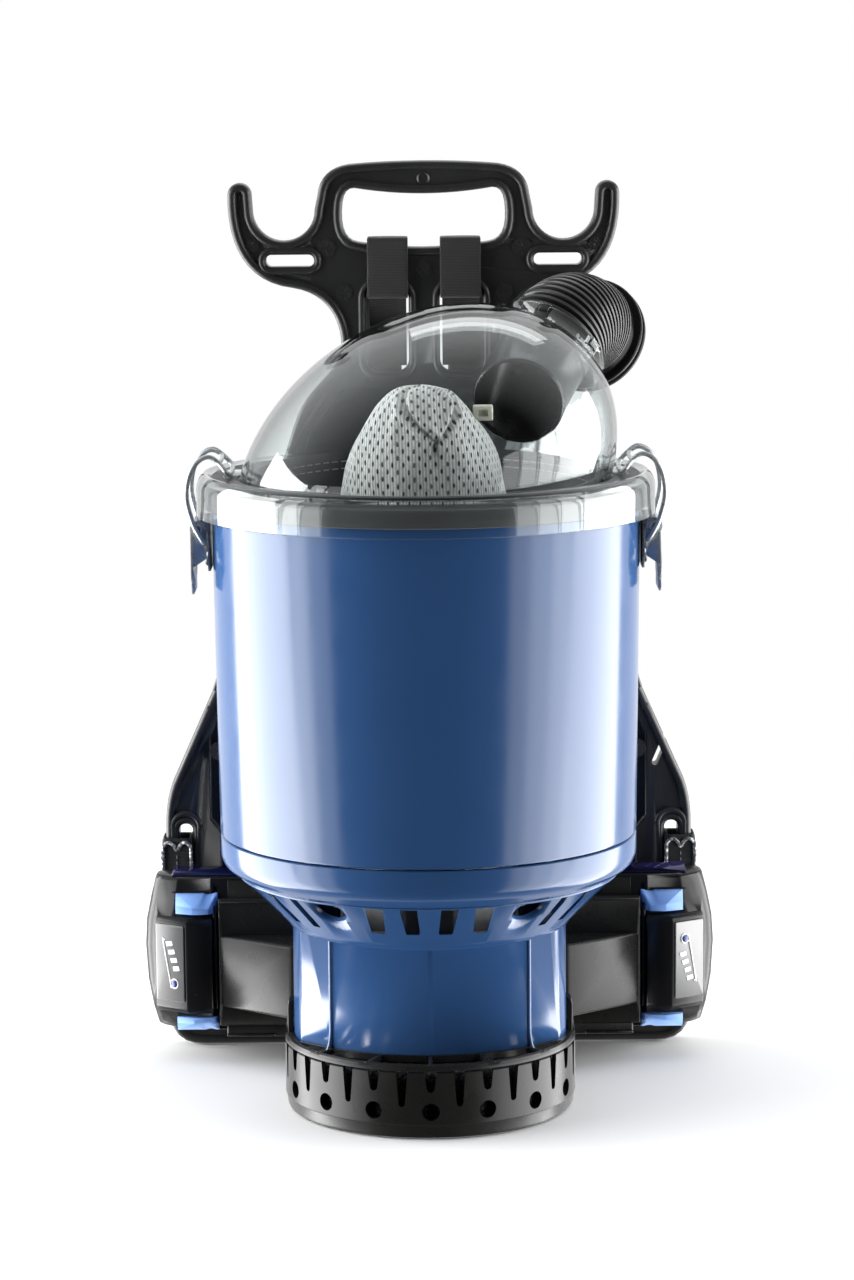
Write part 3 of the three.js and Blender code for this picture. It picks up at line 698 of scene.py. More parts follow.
def neck_outline(inset):
    """Round at the back and sides, with a flatter panel in front and slanted faces between."""
    wide = NECK["shoulder"]
    narrow = math.degrees(math.asin(NECK["panel"] / NECK["front"]))
    back = arc(0, 0, NECK["big"] - inset, -wide, 180 + wide, 84)
    front = arc(0, NECK["centre"], NECK["front"] - inset, 270 - narrow, 270 + narrow, 48)
    return back + front


def well_place(side):
    return Vector((side * 55, -83, 146)), Vector((side * 0.42, -0.68, -0.6)).normalized()


def motor_housing():
    seam = CAN["bottom"] - 0.6
    r = CAN["r_bottom"]
    body = lathe("motor_housing", [
        (0, seam), (r - 1.2, seam), (r - 0.2, seam - 0.6), (r, seam - 1.6), (127.7, 161), (127.2, 158),
        (126.0, 155), (123.6, 152.6), (118.5, 149.5), (103, 134), (88.5, 119.4), (86, 116), (81, 114),
        (0, 114),
    ], 192)
    neck = prism("neck", neck_outline(0), NECK["floor"], 117)
    fuse(body, soften(neck, 1.2, 2, 25))
    hollow = lathe("hollow", [
        (0, seam + 1), (124.2, seam + 1), (124.2, 161), (116.4, 152.5), (83, 120), (77, 117), (0, 117),
    ], 96)
    bore = prism("bore", neck_outline(NECK["wall"]), NECK["floor"] - 1, 119)
    tools = [hollow, bore]
    for x in (-33, -12.5, 12.5, 33):
        foot = x - math.copysign(2.9, x)
        slot = [(foot - 4.2, 127), (foot + 4.2, 127), (x + 5.3, 147), (x - 5.3, 147)]
        tools.append(soften(prism("vent", slot, -125, -80, "y"), 1.0, 2))
    for turn in (-45, -34, -20, 0, 20, 40, 60):
        for angle in (turn, 180 - turn):
            tools.append(spun(block("side_vent", (90, -3.2, 126), (125, 3.2, 147), 0.9), angle))
    for _, side in SIDES:
        place, axis = well_place(side)
        tools.append(turned_to(lathe("well", [
            (0, 0), (6.7, 0), (7.5, 0.8), (8.4, 4), (10.2, 8), (12.8, 12), (13.2, 40), (0, 40),
        ], 64), place, axis))
    cut(body, *tools)
    shade(body, 30)
    fit(body, "base", "blue", "motor_housing")


def neck_trim():
    """Raised ribs at both edges of the neck's front panel and a bead under the band."""
    for name, side in SIDES:
        path = [(side * (60 + flare), -44.6 - flare * 0.5, z) for z, flare in (
            (42.6, 3.4), (44, 2.4), (47, 1.2), (51, 0.5), (58, 0), (80, 0), (100, 0), (113, 0))]
        rib = sweep(f"neck_rib_{name}", smooth_path(path, 4), 1.5, 12)
        fit(rib, "base", "blue")
    bead = lathe("funnel_bead", [
        (r, z) for r, z in arc(116.0, 147.2, 0.9, 0, 345, 11)
    ], 160)
    fit(bead, "base", "blue")


def housing_screws():
    """Button-head screws with a hex socket."""
    for name, side in SIDES:
        head = lathe("head", [(0, 0.3), (4.6, 0.3), (4.6, 1.5), (3.9, 2.8), (2.4, 3.4), (0, 3.5)], 40)
        cut(head, prism("hex", arc(0, 0, 1.7, 0, 300, 5), 1.5, 5))
        place, axis = well_place(side)
        turned_to(head, place, axis)
        head.name = f"housing_screw_{name}"
        fit(head, "base", "steel", f"housing_screw_{name}")


canister()
motor_housing()
neck_trim()
housing_screws()


# ------------------------------------------------------------------ exhaust filter
COVER = {"r": 89.8, "h": 41.2, "wall": 3.0, "holes": 16}


def rim_slot(top, foot_width, foot):
    """A tooth gap: wide at the rim, narrow and round at its foot."""
    half, radius = top / 2, foot_width / 2
    outline = [(half, COVER["h"] + 2), (-half, COVER["h"] + 2)] + arc(0, foot + radius, radius, 180, 360, 8)
    return prism("slot", outline, -COVER["r"] - 3, -COVER["r"] + 8, "y")


def filter_cover():
    r, h, wall = COVER["r"], COVER["h"], COVER["wall"]
    cup = lathe("filter_cover", [
        (0, 0.4), (20, 0.4), (21, 0), (r - 4, 0), (r - 2.4, 0.6), (r - 1.2, 2.6), (r - 0.5, 8.5), (r, 9.2),
        (r, h - 0.6), (r - 0.6, h), (r - wall + 0.5, h), (r - wall, h - 0.5), (r - wall - 1, wall),
        (0, wall),
    ], 192)
    step = 360 / COVER["holes"]
    for i in range(COVER["holes"]):
        hole = prism("hole", arc(0, 17, 5.4, 0, 345, 23), -r - 3, -r + 8, "y")
        cut(cup, *(spun(tool, i * step) for tool in (hole, rim_slot(8, 5, 29))),
            spun(rim_slot(7.5, 4, 20), (i + 0.5) * step))
    shade(cup, 30)
    fit(cup, "exhaust", "black", "filter_cover")


def foam_ring():
    """A lumpy foam ring that bulges a little between the teeth."""
    rows = []
    steps = 180
    for i in range(steps):
        angle = TAU * i / steps
        profile = []
        for k in range(24):
            squared = squarish(TAU * k / 24, 0.35)
            ripple = 0.5 * math.sin(angle * 37 + k) * math.sin(angle * 23 + 2 * k)
            radius = 57.5 + 26.3 * squared[0] + ripple
            profile.append((radius * math.cos(angle), radius * math.sin(angle),
                            22.6 + 18.4 * squared[1] + 0.5 * ripple))
        rows.append(profile)
    rows.append(rows[0])
    ring = skin("exhaust_foam", rows, caps=False)
    fit(ring, "exhaust", "foam", "exhaust_foam")


def grille():
    """Thin hoop and radial spokes over the foam, with a collar and two clips for the neck."""
    r = COVER["r"]
    hoop = lathe("exhaust_grille", [
        (r - 3.6, 42), (r, 42), (r, 43.4), (r - 0.8, 45.2), (r - 2.4, 46), (r - 3.6, 45.6),
    ], 160)
    outside = prism("collar", neck_outline(-2.6), 42, 46)
    collar = cut(outside, prism("inside", neck_outline(-0.4), 40, 48))
    limit = lathe("limit", [(0, 41), (r - 1, 41), (r - 1, 47), (0, 47)], 96)
    boolean(collar, "INTERSECT", limit)
    spokes = None
    for i in range(14):
        bar = spun(block("spoke", (-1.1, -r + 1, 42.2), (1.1, -58, 45.8), 0.5, 2), i * 360 / 14)
        spokes = fuse(spokes, bar) if spokes else bar
    cut(spokes, prism("inside", neck_outline(-0.4), 40, 48))
    clips = []
    for _, side in SIDES:
        outline = [(84.9, 42), (88.1, 42), (88.1, 62), (87.4, 66), (85.5, 66), (84.9, 64)]
        tab = prism("clip", outline, -6, 6, "y")
        clips.append(on_side(soften(tab, 0.5), side))
        for y in (-5.2, 4.2):
            gusset = prism("gusset", [(87.6, 44), (89.4, 44), (88.0, 60), (87.6, 60)], y, y + 1, "y")
            clips.append(on_side(gusset, side))
    fuse(hoop, collar, spokes, *clips)
    shade(hoop, 35)
    fit(hoop, "exhaust", "black", "exhaust_grille")


filter_cover()
foam_ring()
grille()


# ------------------------------------------------------------------ clear lid
DOME = {"r": 113.0, "base": 391.0, "height": 103.0, "lean": (29.0, 18.0), "wall": 2.5}
PORT = Vector((76, 68, 461))
PORT_AXIS = Vector((0.50, 0.56, 0.66)).normalized()
CUFF_END_AXIS = Vector((0.36, 0.85, -0.39)).normalized()
MOUTH = Vector((57, 22, 433))


def dome_solid(name, shrink, drop=0.0):
    """Half an ellipsoid that leans towards the inlet."""
    r, height = DOME["r"] - shrink, DOME["height"] - shrink
    rows = [(DOME["base"] - 3 - drop, r, 0.0)]
    rings = 40
    for k in range(rings):
        rise = math.sin(k / rings * TAU / 4)
        rows.append((DOME["base"] - drop + rise * height, r * math.cos(k / rings * TAU / 4), rise))
    rows.append((DOME["base"] - drop + height, 0.01, 1.0))
    loops = []
    for z, radius, lean in rows:
        loops.append([
            (DOME["lean"][0] * lean + radius * math.cos(TAU * i / 144),
             DOME["lean"][1] * lean + radius * math.sin(TAU * i / 144), z)
            for i in range(144)
        ])
    return skin(name, loops)


def elbow_path(steps):
    return bezier([MOUTH, PORT - PORT_AXIS * 24, PORT + PORT_AXIS * 6.5], steps)


def clear_lid():
    """One moulding: skirt, rolled rim, shelf, leaning dome, port collar and catches."""
    out, low, shelf = 139.2, 368.0, 389.5
    shell = lathe("lid_dome", [
        (out - 2.8, low + 0.4), (out - 2.3, low), (out - 0.6, low), (out, low + 0.6), (out, 384.5),
        (out - 0.4, 387.5), (137.6, 390.7), (136.2, 392.8), (134.5, 393.9), (132.6, 393.7), (131, 392.3),
        (130.2, 390.5), (129.2, 389.7), (127, shelf), (108, shelf), (108, shelf - 2.6),
        (131.4, shelf - 2.6), (133.4, 387.8), (135, 386.5), (out - 3, 383.5), (out - 2.8, low + 0.6),
    ], 192)
    collar = turned_to(lathe("collar", [
        (0, -14), (38, -14), (38, 4.6), (37.2, 6.4), (35.6, 7), (0, 7),
    ], 72), PORT, PORT_AXIS)
    lugs = []
    for i in range(6):
        lug = spun(block("lug", (36.5, -4, 0), (39.5, 4, 6), 0.7), 60 * i + 12)
        lugs.append(turned_to(lug, PORT, PORT_AXIS))
    catches = [
        on_side(block("catch", (111, -18, shelf - 1), (122, 18, 393.4), 1.2, 3), side) for _, side in SIDES
    ]
    fuse(shell, dome_solid("dome", 0), collar, *lugs, *catches)
    port = turned_to(lathe("port", [(0, -6), (29.1, -6), (29.1, 40), (0, 40)], 64), PORT, PORT_AXIS)
    passage = sweep("passage", elbow_path(14), 29.2, 48)
    cut(shell, dome_solid("inner", DOME["wall"], 0.5), port, passage)
    shade(shell, 28)
    fit(shell, "lid", "clear", "lid_dome")

    # painted reflection: a glossy grey band inside the clear skirt stands in for the grey reflection in the
    # skirt's upper part
    band = lathe("skirt_band", [
        (131.6, 374), (132, 373.4), (134.6, 373.4), (135.2, 374), (135.6, 382.6), (134.8, 384.4),
        (131.2, 386.2), (127.2, 386.4), (127.2, 383.4), (131.6, 382.8),
    ], 192)
    fit(band, "lid", "band")
    gasket = lathe("shelf_gasket", [
        (114.6, 389.6), (129.4, 389.7), (130.6, 391.2), (129.6, 392.0), (127.5, 391.2), (116.5, 390.7),
        (114.6, 390.3),
    ], 192)
    fit(gasket, "lid", "seal")


def ring_pipe(name, path, outer, inner, sides=56):
    """An open-ended pipe along a path. outer and inner are functions of the share of the path."""
    stations = list(frames_along(path))
    last = len(stations) - 1
    rows = [circle_across(stations[i], outer(i / last), sides) for i in range(last + 1)]
    rows += [circle_across(stations[i], inner(i / last), sides) for i in range(last, -1, -1)]
    rows.append(rows[0])
    return skin(name, rows, caps=False, smooth=35)


def inlet_elbow():
    """Black elbow with a rounded mouth, a thick lip and a locking band near the port."""
    def outer(t):
        if t < 0.03:
            return 27.4 + 1.1 * math.sin(t / 0.03 * TAU / 4)
        if 0.78 < t < 0.86:
            return 28.9
        return 28.5
    elbow = ring_pipe("inlet_elbow", elbow_path(48), outer, lambda t: 26.0 + 0.8 * max(0, 1 - t / 0.03))
    fit(elbow, "lid", "cap", "inlet_elbow")

    clip = block("elbow_clip", (29, -4, 424), (41, 6, 433), 0.8, 3)
    cut(clip, block("notch", (32, -6, 426.5), (38, -1.5, 430.5), 0.4))
    fit(clip, "lid", "bone", "elbow_clip")


clear_lid()
inlet_elbow()


# ------------------------------------------------------------------ hose cuff
CUFF = {"core": 29.0, "rib": 33.0, "bore": 25.5, "ribs": 14, "bend": 35.0}
CUFF_START = PORT + PORT_AXIS * 7.5
CUFF_TURN = PORT_AXIS.angle(CUFF_END_AXIS)
CUFF_INWARD = (CUFF_END_AXIS - PORT_AXIS * math.cos(CUFF_TURN)).normalized()


def cuff_point(t):
    angle = t * CUFF_TURN
    return (CUFF_START + CUFF_INWARD * CUFF["bend"] * (1 - math.cos(angle))
            + PORT_AXIS * CUFF["bend"] * math.sin(angle))


def swivel_cuff():
    """A rubber bellows of thin fins, with one moulding seam along it."""
    stations = 10

    def fin(t):
        phase = (t * CUFF["ribs"]) % 1.0
        rise = max(0.0, math.sin(phase * TAU / 2)) ** 0.55 if 0.2 < phase < 0.86 else 0.0
        return CUFF["core"] + (CUFF["rib"] - CUFF["core"]) * min(1.0, rise * 1.15)

    steps = CUFF["ribs"] * stations
    path = [cuff_point(i / steps) for i in range(steps + 1)]
    bellows = ring_pipe("swivel_cuff", path, fin, lambda t: CUFF["bore"], 72)
    fit(bellows, "cuff", "rubber", "swivel_cuff")

    seam = []
    for i in range(41):
        t = i / 40
        tangent = (cuff_point(min(1, t + 0.01)) - cuff_point(max(0, t - 0.01))).normalized()
        side = Vector((-0.8, -0.35, 0.45))
        side = (side - tangent * side.dot(tangent)).normalized()
        seam.append(cuff_point(t) + side * (CUFF["rib"] - 0.35))
    line = sweep("cuff_seam", seam, 0.7, 8)
    fit(line, "cuff", "rubber")


def cuff_sleeve():
    """A glossy flared end with a grooved flange."""
    profile = [
        (25.5, 0.3), (28, 0.3), (28.6, 1.2), (30.8, 8.2), (31.6, 8.9), (35.8, 9), (36.5, 9.7), (36.5, 11.4),
        (36, 12.1), (34.7, 12.7), (34.3, 13.5), (34.7, 14.3), (36, 14.9), (36.5, 15.6), (36.5, 17.3),
        (35.8, 18), (27, 18), (26, 17.4), (25.6, 9),
    ]
    sleeve = turned_to(lathe("cuff_sleeve", profile, 112), cuff_point(1), CUFF_END_AXIS)
    fit(sleeve, "cuff", "cap", "cuff_sleeve")


swivel_cuff()
cuff_sleeve()


# ------------------------------------------------------------------ dust filters
def cone_filter():
    """A knitted cloth cone with a slack top: two creases run together into one shallow valley."""
    profile = [(60, 181), (60.5, 230), (60, 280), (58.5, 320), (56, 345), (52.6, 368), (49.2, 385),
               (46.8, 396), (43.2, 407), (38.4, 417), (32.6, 426), (26.4, 434.4), (19.5, 440.6),
               (12, 444.2), (6, 445.2), (0.01, 445.4)]
    path = smooth_path([(r, 0, z) for r, z in profile], 8)
    sides, valley = 216, 281
    rows, lengths, travelled = [], [], 0.0
    for i, point in enumerate(path):
        if i:
            travelled += (point - path[i - 1]).length
        lengths.append(travelled)
        z = point.z
        high = max(0.0, (z - 330) / 115)
        upper = min(1.0, max(0.0, (z - 404) / 14))
        creases = (  # angle in degrees, depth, width
            (valley - max(0, z - 415) * 1.64, 3.6 * upper, 2.2),
            (valley + max(0, z - 412) * 1.8, 3.2 * upper, 2.0),
            (valley, 2.6 * math.exp(-((z - 404) / 13) ** 2), 7.0),
            (85, 4.0 * high ** 2, 9.0),
            (180, 1.5 * high, 12.0),
        )
        row = []
        for k in range(sides):
            angle = TAU * k / sides + TAU / 4
            radius = point.x
            for crease, depth, width in creases:
                gap = ((angle - math.radians(crease) + math.pi) % TAU - math.pi) * max(point.x, 4)
                depth = min(depth, point.x * 0.22)
                radius -= depth * math.exp(-(gap / width) ** 2)
                radius += 0.4 * depth * math.exp(-((abs(gap) - 2.3 * width) / (1.3 * width)) ** 2)
            corner = 0.9 * max(0.0, math.sin(angle * 9 + z / 21)) ** 3 * min(1, point.x / 20)
            radius += corner + 0.5 * math.sin(5 * angle + z / 9) + 0.3 * math.sin(11 * angle - z / 13)
            radius = max(radius, 0.01) if point.x > 0.5 else 0.01
            row.append((radius * math.cos(angle) - 2.8 * high, 0.96 * radius * math.sin(angle) - 1.5 * high,
                        z - 0.6 * math.sin(3 * angle + 1) * high))
        rows.append(row)
    cone = skin("cone_filter", rows, smooth=80)
    layer = cone.data.uv_layers.new(name="cloth")
    for polygon in cone.data.polygons:
        spots = [cone.data.loops[loop].vertex_index for loop in polygon.loop_indices]
        columns = [spot % sides for spot in spots]
        wraps = max(columns) - min(columns) > sides / 2
        for loop, spot, column in zip(polygon.loop_indices, spots, columns):
            level = min(spot // sides, len(path) - 1)
            column += sides if wraps and column < sides / 2 else 0
            layer.data[loop].uv = ((column / sides - 0.5) * TAU * max(path[level].x, 1), lengths[level])
    fit(cone, "base", "cloth", "cone_filter")


def stitches(name, radius, height, tilt, count, length):
    """A row of thread dashes round the collar, each a short rounded bar."""
    dashes = []
    for i in range(count):
        middle = TAU * i / count
        points = []
        for k in (-1, -0.4, 0.4, 1):
            angle = middle + k * length / 2 / radius
            points.append((radius * math.cos(angle), radius * math.sin(angle),
                           height + tilt * math.sin(angle)))
        dashes.append(sweep("dash", points, 0.34, 6))
    return join(name, *dashes)


def filter_collar():
    """The drum's cloth liner: a soft sleeve with a hem, hung from a plastic ring."""
    rows = []
    profile = [(106.3, 330), (106.5, 345), (106.2, 360), (106.6, 375), (106.4, 386), (106, 394),
               (105.2, 397.6), (104.2, 397.8), (103.6, 394), (103.8, 388), (103.2, 382), (103.6, 365),
               (103.3, 345), (103.7, 330)]
    for i in range(160):
        angle = TAU * i / 160
        ripple = 0.5 * math.sin(9 * angle) + 0.35 * math.sin(21 * angle + 1)
        dip = 5.5 * (1 - math.sin(angle))
        rows.append([((r + ripple) * math.cos(angle), (r + ripple) * math.sin(angle),
                      z - dip * max(0.0, (z - 345) / 53)) for r, z in profile])
    rows.append(rows[0])
    sleeve = skin("filter_collar", rows, caps=False, smooth=70)
    fit(sleeve, "base", "collar", "filter_collar")
    for name, height in (("upper", 386.5), ("lower", 382.0)):
        row = stitches(f"collar_stitching_{name}", 102.6, height, 4.9, 96, 4.4)
        fit(row, "base", "thread")

    ring = lathe("filter_ring", [
        (107, 374), (124.4, 374), (125, 374.6), (125, 379.4), (124.4, 380), (107.6, 380), (107, 379.4),
    ], 128)
    fit(ring, "base", "black", "filter_ring")


cone_filter()
filter_collar()


# ------------------------------------------------------------------ lid latches
PIVOT = (137.4, 361.5)
EYE = (134.1, 353.5)


def cross_hole(centre, radius):
    """A round cutter along Y, right through a latch."""
    return prism("hole", arc(*centre, radius, 0, 345, 23), -30, 30, "y")


def latch(name, sign):
    """A toggle latch: bracket and rivets, pin with washers, lever with two cheeks, wire bail."""
    def done(obj, body, *nodes):
        fit(on_side(obj, sign), body, "steel", *nodes)

    parts = [prism("plate", rounded(0, 350.5, 37, 31, 4), 130.6, 132, "x")]
    ear = [(131.4, 353), (138.6, 353), (141.2, 357), (141.6, 361.5), (140.2, 365.2), (137.4, 366.6),
           (131.4, 366.6)]
    for y in (-18.5, 16.9):
        parts.append(prism("ear", ear, y, y + 1.6, "y"))
    bracket = fuse(*parts)
    cut(bracket, cross_hole(PIVOT, 2.4))
    bracket.name = f"latch_bracket_{name}"
    done(soften(bracket, 0.35), "base", f"latch_bracket_{name}")

    rivets = []
    for y, z in ((-11, 341), (11, 341)):
        head = lathe("rivet", [(0, 0), (3.2, 0), (3.1, 0.9), (2.2, 1.7), (0, 2.0)], 28)
        rivets.append(turned_to(head, (132, y, z), (1, 0, 0)))
    done(join(f"latch_rivets_{name}", *rivets), "base")

    end = [(2, 23.3), (4.9, 23.4), (4.9, 24.0), (3.1, 24.4), (2.6, 25.2), (1.5, 25.2), (1.2, 23.8),
           (0, 23.8)]
    pin = lathe("pin", [(r, -z) for r, z in reversed(end)] + end, 32)
    moved(pin, Matrix.Translation((PIVOT[0] * MM, 0, PIVOT[1] * MM)) @ Matrix.Rotation(TAU / 4, 4, "X"))
    pin.name = f"latch_pin_{name}"
    done(pin, "base", f"latch_pin_{name}")

    cheek = [(132.6, 361), (133.2, 364), (134.8, 366), (137.4, 366.8), (140, 366), (141.6, 364),
             (142.2, 361), (142.2, 338), (140.8, 338), (132.6, 343.5)]
    cheeks = [prism("cheek", cheek, y, y + 1.6, "y") for y in (-22.6, 21.0)]
    half_tab = [(15, 321), (17, 322.5), (17, 328), (20.5, 330), (22.6, 333), (22.6, 350)]
    tab = prism("tab", [(-y, z) for y, z in reversed(half_tab)] + half_tab, 140.8, 142.2, "x")
    lever = fuse(cheeks[0], cheeks[1], tab)
    cut(lever, cross_hole(PIVOT, 2.4), cross_hole(EYE, 1.7),
        prism("window", rounded(0, 341, 22, 7, 2), 138, 144, "x"))
    lever.name = f"latch_lever_{name}"
    done(soften(lever, 0.35), f"lever_{name}", f"latch_lever_{name}")

    leg = [(EYE[0], EYE[1]), (137.6, 359.6), (140.9, 367), (143.9, 380), (142.4, 393), (137.4, 402),
           (130.6, 405.4), (124.6, 402), (118.4, 395)]
    near = [(x, -25, z) for x, z in leg]
    far = [(x, 25, z) for x, z in reversed(leg)]
    route = [(EYE[0], -19.6, EYE[1]), (EYE[0], -23.4, EYE[1])] + near[1:] + far[:-1]
    route += [(EYE[0], 23.4, EYE[1]), (EYE[0], 19.6, EYE[1])]
    wires = [sweep("wire", smooth_path(route, 6), 1.5, 12)]
    inner = [(x, y * 0.86, z - 0.4) for x, y, z in near[2:-1] + far[1:-2]]
    bend = [(near[2][0], -23.6, near[2][2] - 1.6)] + inner + [(near[2][0], 23.6, near[2][2] - 1.6)]
    wires.append(sweep("wire", smooth_path(bend, 6), 1.3, 12))
    done(join(f"latch_bail_{name}", *wires), f"bail_{name}", f"latch_bail_{name}")


for side_name, side_sign in SIDES:
    latch(side_name, side_sign)


# ------------------------------------------------------------------ harness frame
FRAME = {"front": 142.0, "back": 160.0, "recess": 2.6}


def half_frame():
    """The right half of the outline, from the handle's top down to the foot."""
    line = bezier([(0, 577), (26, 577), (48, 575)], 8)
    line += bezier([(48, 575), (66, 572), (67.6, 556)], 8)[1:] + [(69.6, 546.5)]
    line += arc(89.5, 546.5, 19.9, 180, 360, 20)[1:] + [(110, 556)]
    line += arc(117.6, 556, 7.6, 180, 0, 12)[1:]
    for curve in (
        [(125.2, 556), (126, 524), (114, 500), (84, 496.5)],
        [(84, 496.5), (62, 493), (53.5, 476), (53.5, 460)],
        [(53.5, 460), (54, 440), (76, 436), (85, 407)],
    ):
        line += bezier(curve, 12)[1:]
    line += [(137.5, 240.5), (167, 175)]
    line += bezier([(167, 175), (171.7, 162), (171.7, 146)], 5)[1:] + [(171.7, 24)]
    line += bezier([(171.7, 24), (171.7, 0), (148, 0)], 6)[1:]
    return [(p[0], p[1]) for p in line]


def both_halves(half):
    return half + [(-x, z) for x, z in reversed(half) if x > 0]


def finger_slot():
    half = [(52.3, 545)] + bezier([(52.3, 545), (52, 560.5), (44, 560)], 5)[1:]
    half += bezier([(44, 560), (0, 552.5), (-44, 560)], 12)[1:]
    half += bezier([(-44, 560), (-52, 560.5), (-52.3, 545)], 5)[1:]
    half += bezier([(-52.3, 545), (-53, 527), (-42, 525.5)], 6)[1:]
    half += bezier([(-42, 525.5), (0, 518.5), (42, 525.5)], 12)[1:]
    half += bezier([(42, 525.5), (53, 527), (52.3, 545)], 6)[1:-1]
    return [(p[0], p[1]) for p in half]


def inset(outline, distance):
    """Move a closed outline inwards. A minus distance moves it outwards."""
    count = len(outline)
    area = sum(outline[i][0] * outline[(i + 1) % count][1] - outline[(i + 1) % count][0] * outline[i][1]
               for i in range(count))
    sign = 1 if area > 0 else -1
    result = []
    for i in range(count):
        before, here, after = (Vector(outline[(i + k) % count]).to_2d() for k in (-1, 0, 1))
        normal = Vector((0, 0))
        for edge in (here - before, after - here):
            if edge.length > 1e-6:
                normal += Vector((-edge.y, edge.x)).normalized()
        normal = normal.normalized() * sign * distance
        result.append((here.x + normal.x, here.y + normal.y))
    return result


def bead(name, outline, radius=2.9, y=None):
    """A raised rounded edge along a closed outline on the frame's front."""
    y = FRAME["front"] + radius + 0.15 if y is None else y
    return sweep(name, [(x, y, z) for x, z in outline], radius, 10, loop=True)


def harness_frame():
    front, back = FRAME["front"] + FRAME["recess"], FRAME["back"]
    outline = both_halves(half_frame())
    plate = soften(prism("harness_frame", outline, front, back, "y"), 2.4, 3, 50)
    slots, beads = [], [bead("outer", inset(outline, 3.0))]
    slots.append(finger_slot())
    for _, side in SIDES:
        slots.append(rounded(side * 23.8, 470, 27.6, 56, 8))
        slots.append(rounded(side * 85.7, 514, 31, 7.8, 3.6))
        slots.append(rounded(side * 158.5, 107, 9, 82, 4.2))
    tools = [prism("slot", slot, front - 6, back + 4, "y") for slot in slots]
    slant = prism("slot", rounded(0, 0, 4, 26, 1.9), front - 6, back + 4, "y")
    tools.append(shifted(spun(slant, 23, "Y"), 152.2, 0, 196.5))
    pocket = [(0, 432), (54, 432), (74, 404), (126, 243), (143, 205), (143, 150), (136.5, 142), (136.5, 12)]
    tools.append(soften(prism("pocket", both_halves(pocket), front - 6, back - 6, "y"), 1.5, 2, 50))
    cut(plate, *tools)
    beads += [bead("ring", inset(slot, -2.9)) for slot in slots[:1]]
    beads += [bead("ring", inset(slot, -2.6), 2.4) for slot in slots[1:]]
    fuse(plate, *beads)
    shade(plate, 42)
    fit(plate, "base", "frame", "harness_frame")


def frame_ribs():
    """Stiffening ribs, bosses over the belt slots and the ribs behind the plate."""
    front, depth = FRAME["front"] + FRAME["recess"], FRAME["back"]
    for name, side in SIDES:
        arch = [(side * x, front - 0.4, z) for x, z in (
            [(150.2, 64), (150.2, 138)] + arc(158.5, 146, 8.8, 180, 0, 10) + [(167.0, 138), (167.0, 64)]
        )]
        boss = sweep(f"belt_slot_arch_{name}", smooth_path(arch, 3), 2.3, 10)
        fit(boss, "base", "frame")
        for k, (x0, z0, x1, z1) in enumerate((
            (62, 430, 88, 392), (92, 380, 138, 236), (142, 226, 160, 182),
        )):
            path = [(side * (x0 + (x1 - x0) * t), front - 0.2, z0 + (z1 - z0) * t)
                    for t in (0, 0.2, 0.5, 0.8, 1)]
            rib = sweep(f"frame_rib_{name}_{k}", path, 1.9, 10)
            fit(rib, "base", "frame")
        for k, (x, low, high) in enumerate(((70, 150, 395), (104, 190, 330))):
            rib = side_block(f"back_rib_{name}_{k}", side, (x, depth - 0.2, low),
                             (x + 3, depth + 3.4, high), 1.0)
            fit(rib, "base", "frame")


def mould_marks():
    """Round textured spots left by the mould: a low disc with a pebbled face."""
    spots = [(0, 508, 5.2, "neck")]
    for name, side in SIDES:
        spots += [(side * 62.5, 521.5, 6.2, f"upper_{name}"), (side * 51.5, 493.5, 5.6, f"lower_{name}"),
                  (side * 109.5, 524, 4.2, f"hook_{name}"), (side * 136, 196, 6.2, f"side_{name}")]
    face = FRAME["front"] + FRAME["recess"]
    generator = random.Random(7)
    for x, z, radius, where in spots:
        def ring(share, sink):
            """A circle at a share of the spot's radius; sink gives each point's depth."""
            turns = [TAU * k / 40 for k in range(40)]
            return [(x + share * radius * math.cos(a), face - 0.5 + sink(), z + share * radius * math.sin(a))
                    for a in turns]

        rows = [ring(0.01 / radius, lambda: 0)]
        for share in (0.25, 0.45, 0.62, 0.8, 0.92):
            rows.append(ring(share, lambda: generator.uniform(-0.28, 0.2)))
        rows += [ring(1, lambda: 0), ring(1, lambda: 0.8)]
        mark = skin(f"mould_mark_{where}", rows, smooth=60)
        fit(mark, "base", "frame")
    dimple = turned_to(lathe("handle_dimple", [(3.0, 0), (4.2, 0), (4.2, 0.5), (3.6, 0.9), (3.0, 0.5)], 40),
                       (0, face + 0.2, 566), (0, -1, 0))
    fit(dimple, "base", "frame")


harness_frame()
frame_ribs()
mould_marks()


# ------------------------------------------------------------------ webbing on the frame
WEB = 2.2  # the webbing's thickness


def strap_map(obj, along, across):
    """Lay the weave's map on a strap, in millimetres along it and across it."""
    layer = obj.data.uv_layers.new(name="strap")
    for polygon in obj.data.polygons:
        for loop in polygon.loop_indices:
            point = obj.data.vertices[obj.data.loops[loop].vertex_index].co / MM
            layer.data[loop].uv = (point.dot(Vector(across)), point.dot(Vector(along)))


def ribbon(name, path, width, thickness, across, bulge=0.0):
    """A flat strap along a closed path; across is the direction of its width."""
    across = Vector(across).normalized()
    rows, count = [], 16
    path = [Vector(p) for p in path]
    for i, point in enumerate(path):
        tangent = (path[(i + 1) % len(path)] - path[i - 1]).normalized()
        out = across.cross(tangent).normalized()
        row = []
        for k in range(count):
            flat = squarish(TAU * k / count, 0.3)
            lift = bulge * (1 - flat[0] ** 2) * math.sin(i * 0.9)
            row.append(tuple(point + across * flat[0] * width / 2 + out * (flat[1] * thickness / 2 + lift)))
        rows.append(row)
    rows.append(rows[0])
    return skin(name, rows, caps=False, smooth=60)


def loop_round(x0, y0, x1, y1, radius=2.0):
    return rounded((x0 + x1) / 2, (y0 + y1) / 2, x1 - x0, y1 - y0, radius, 4)


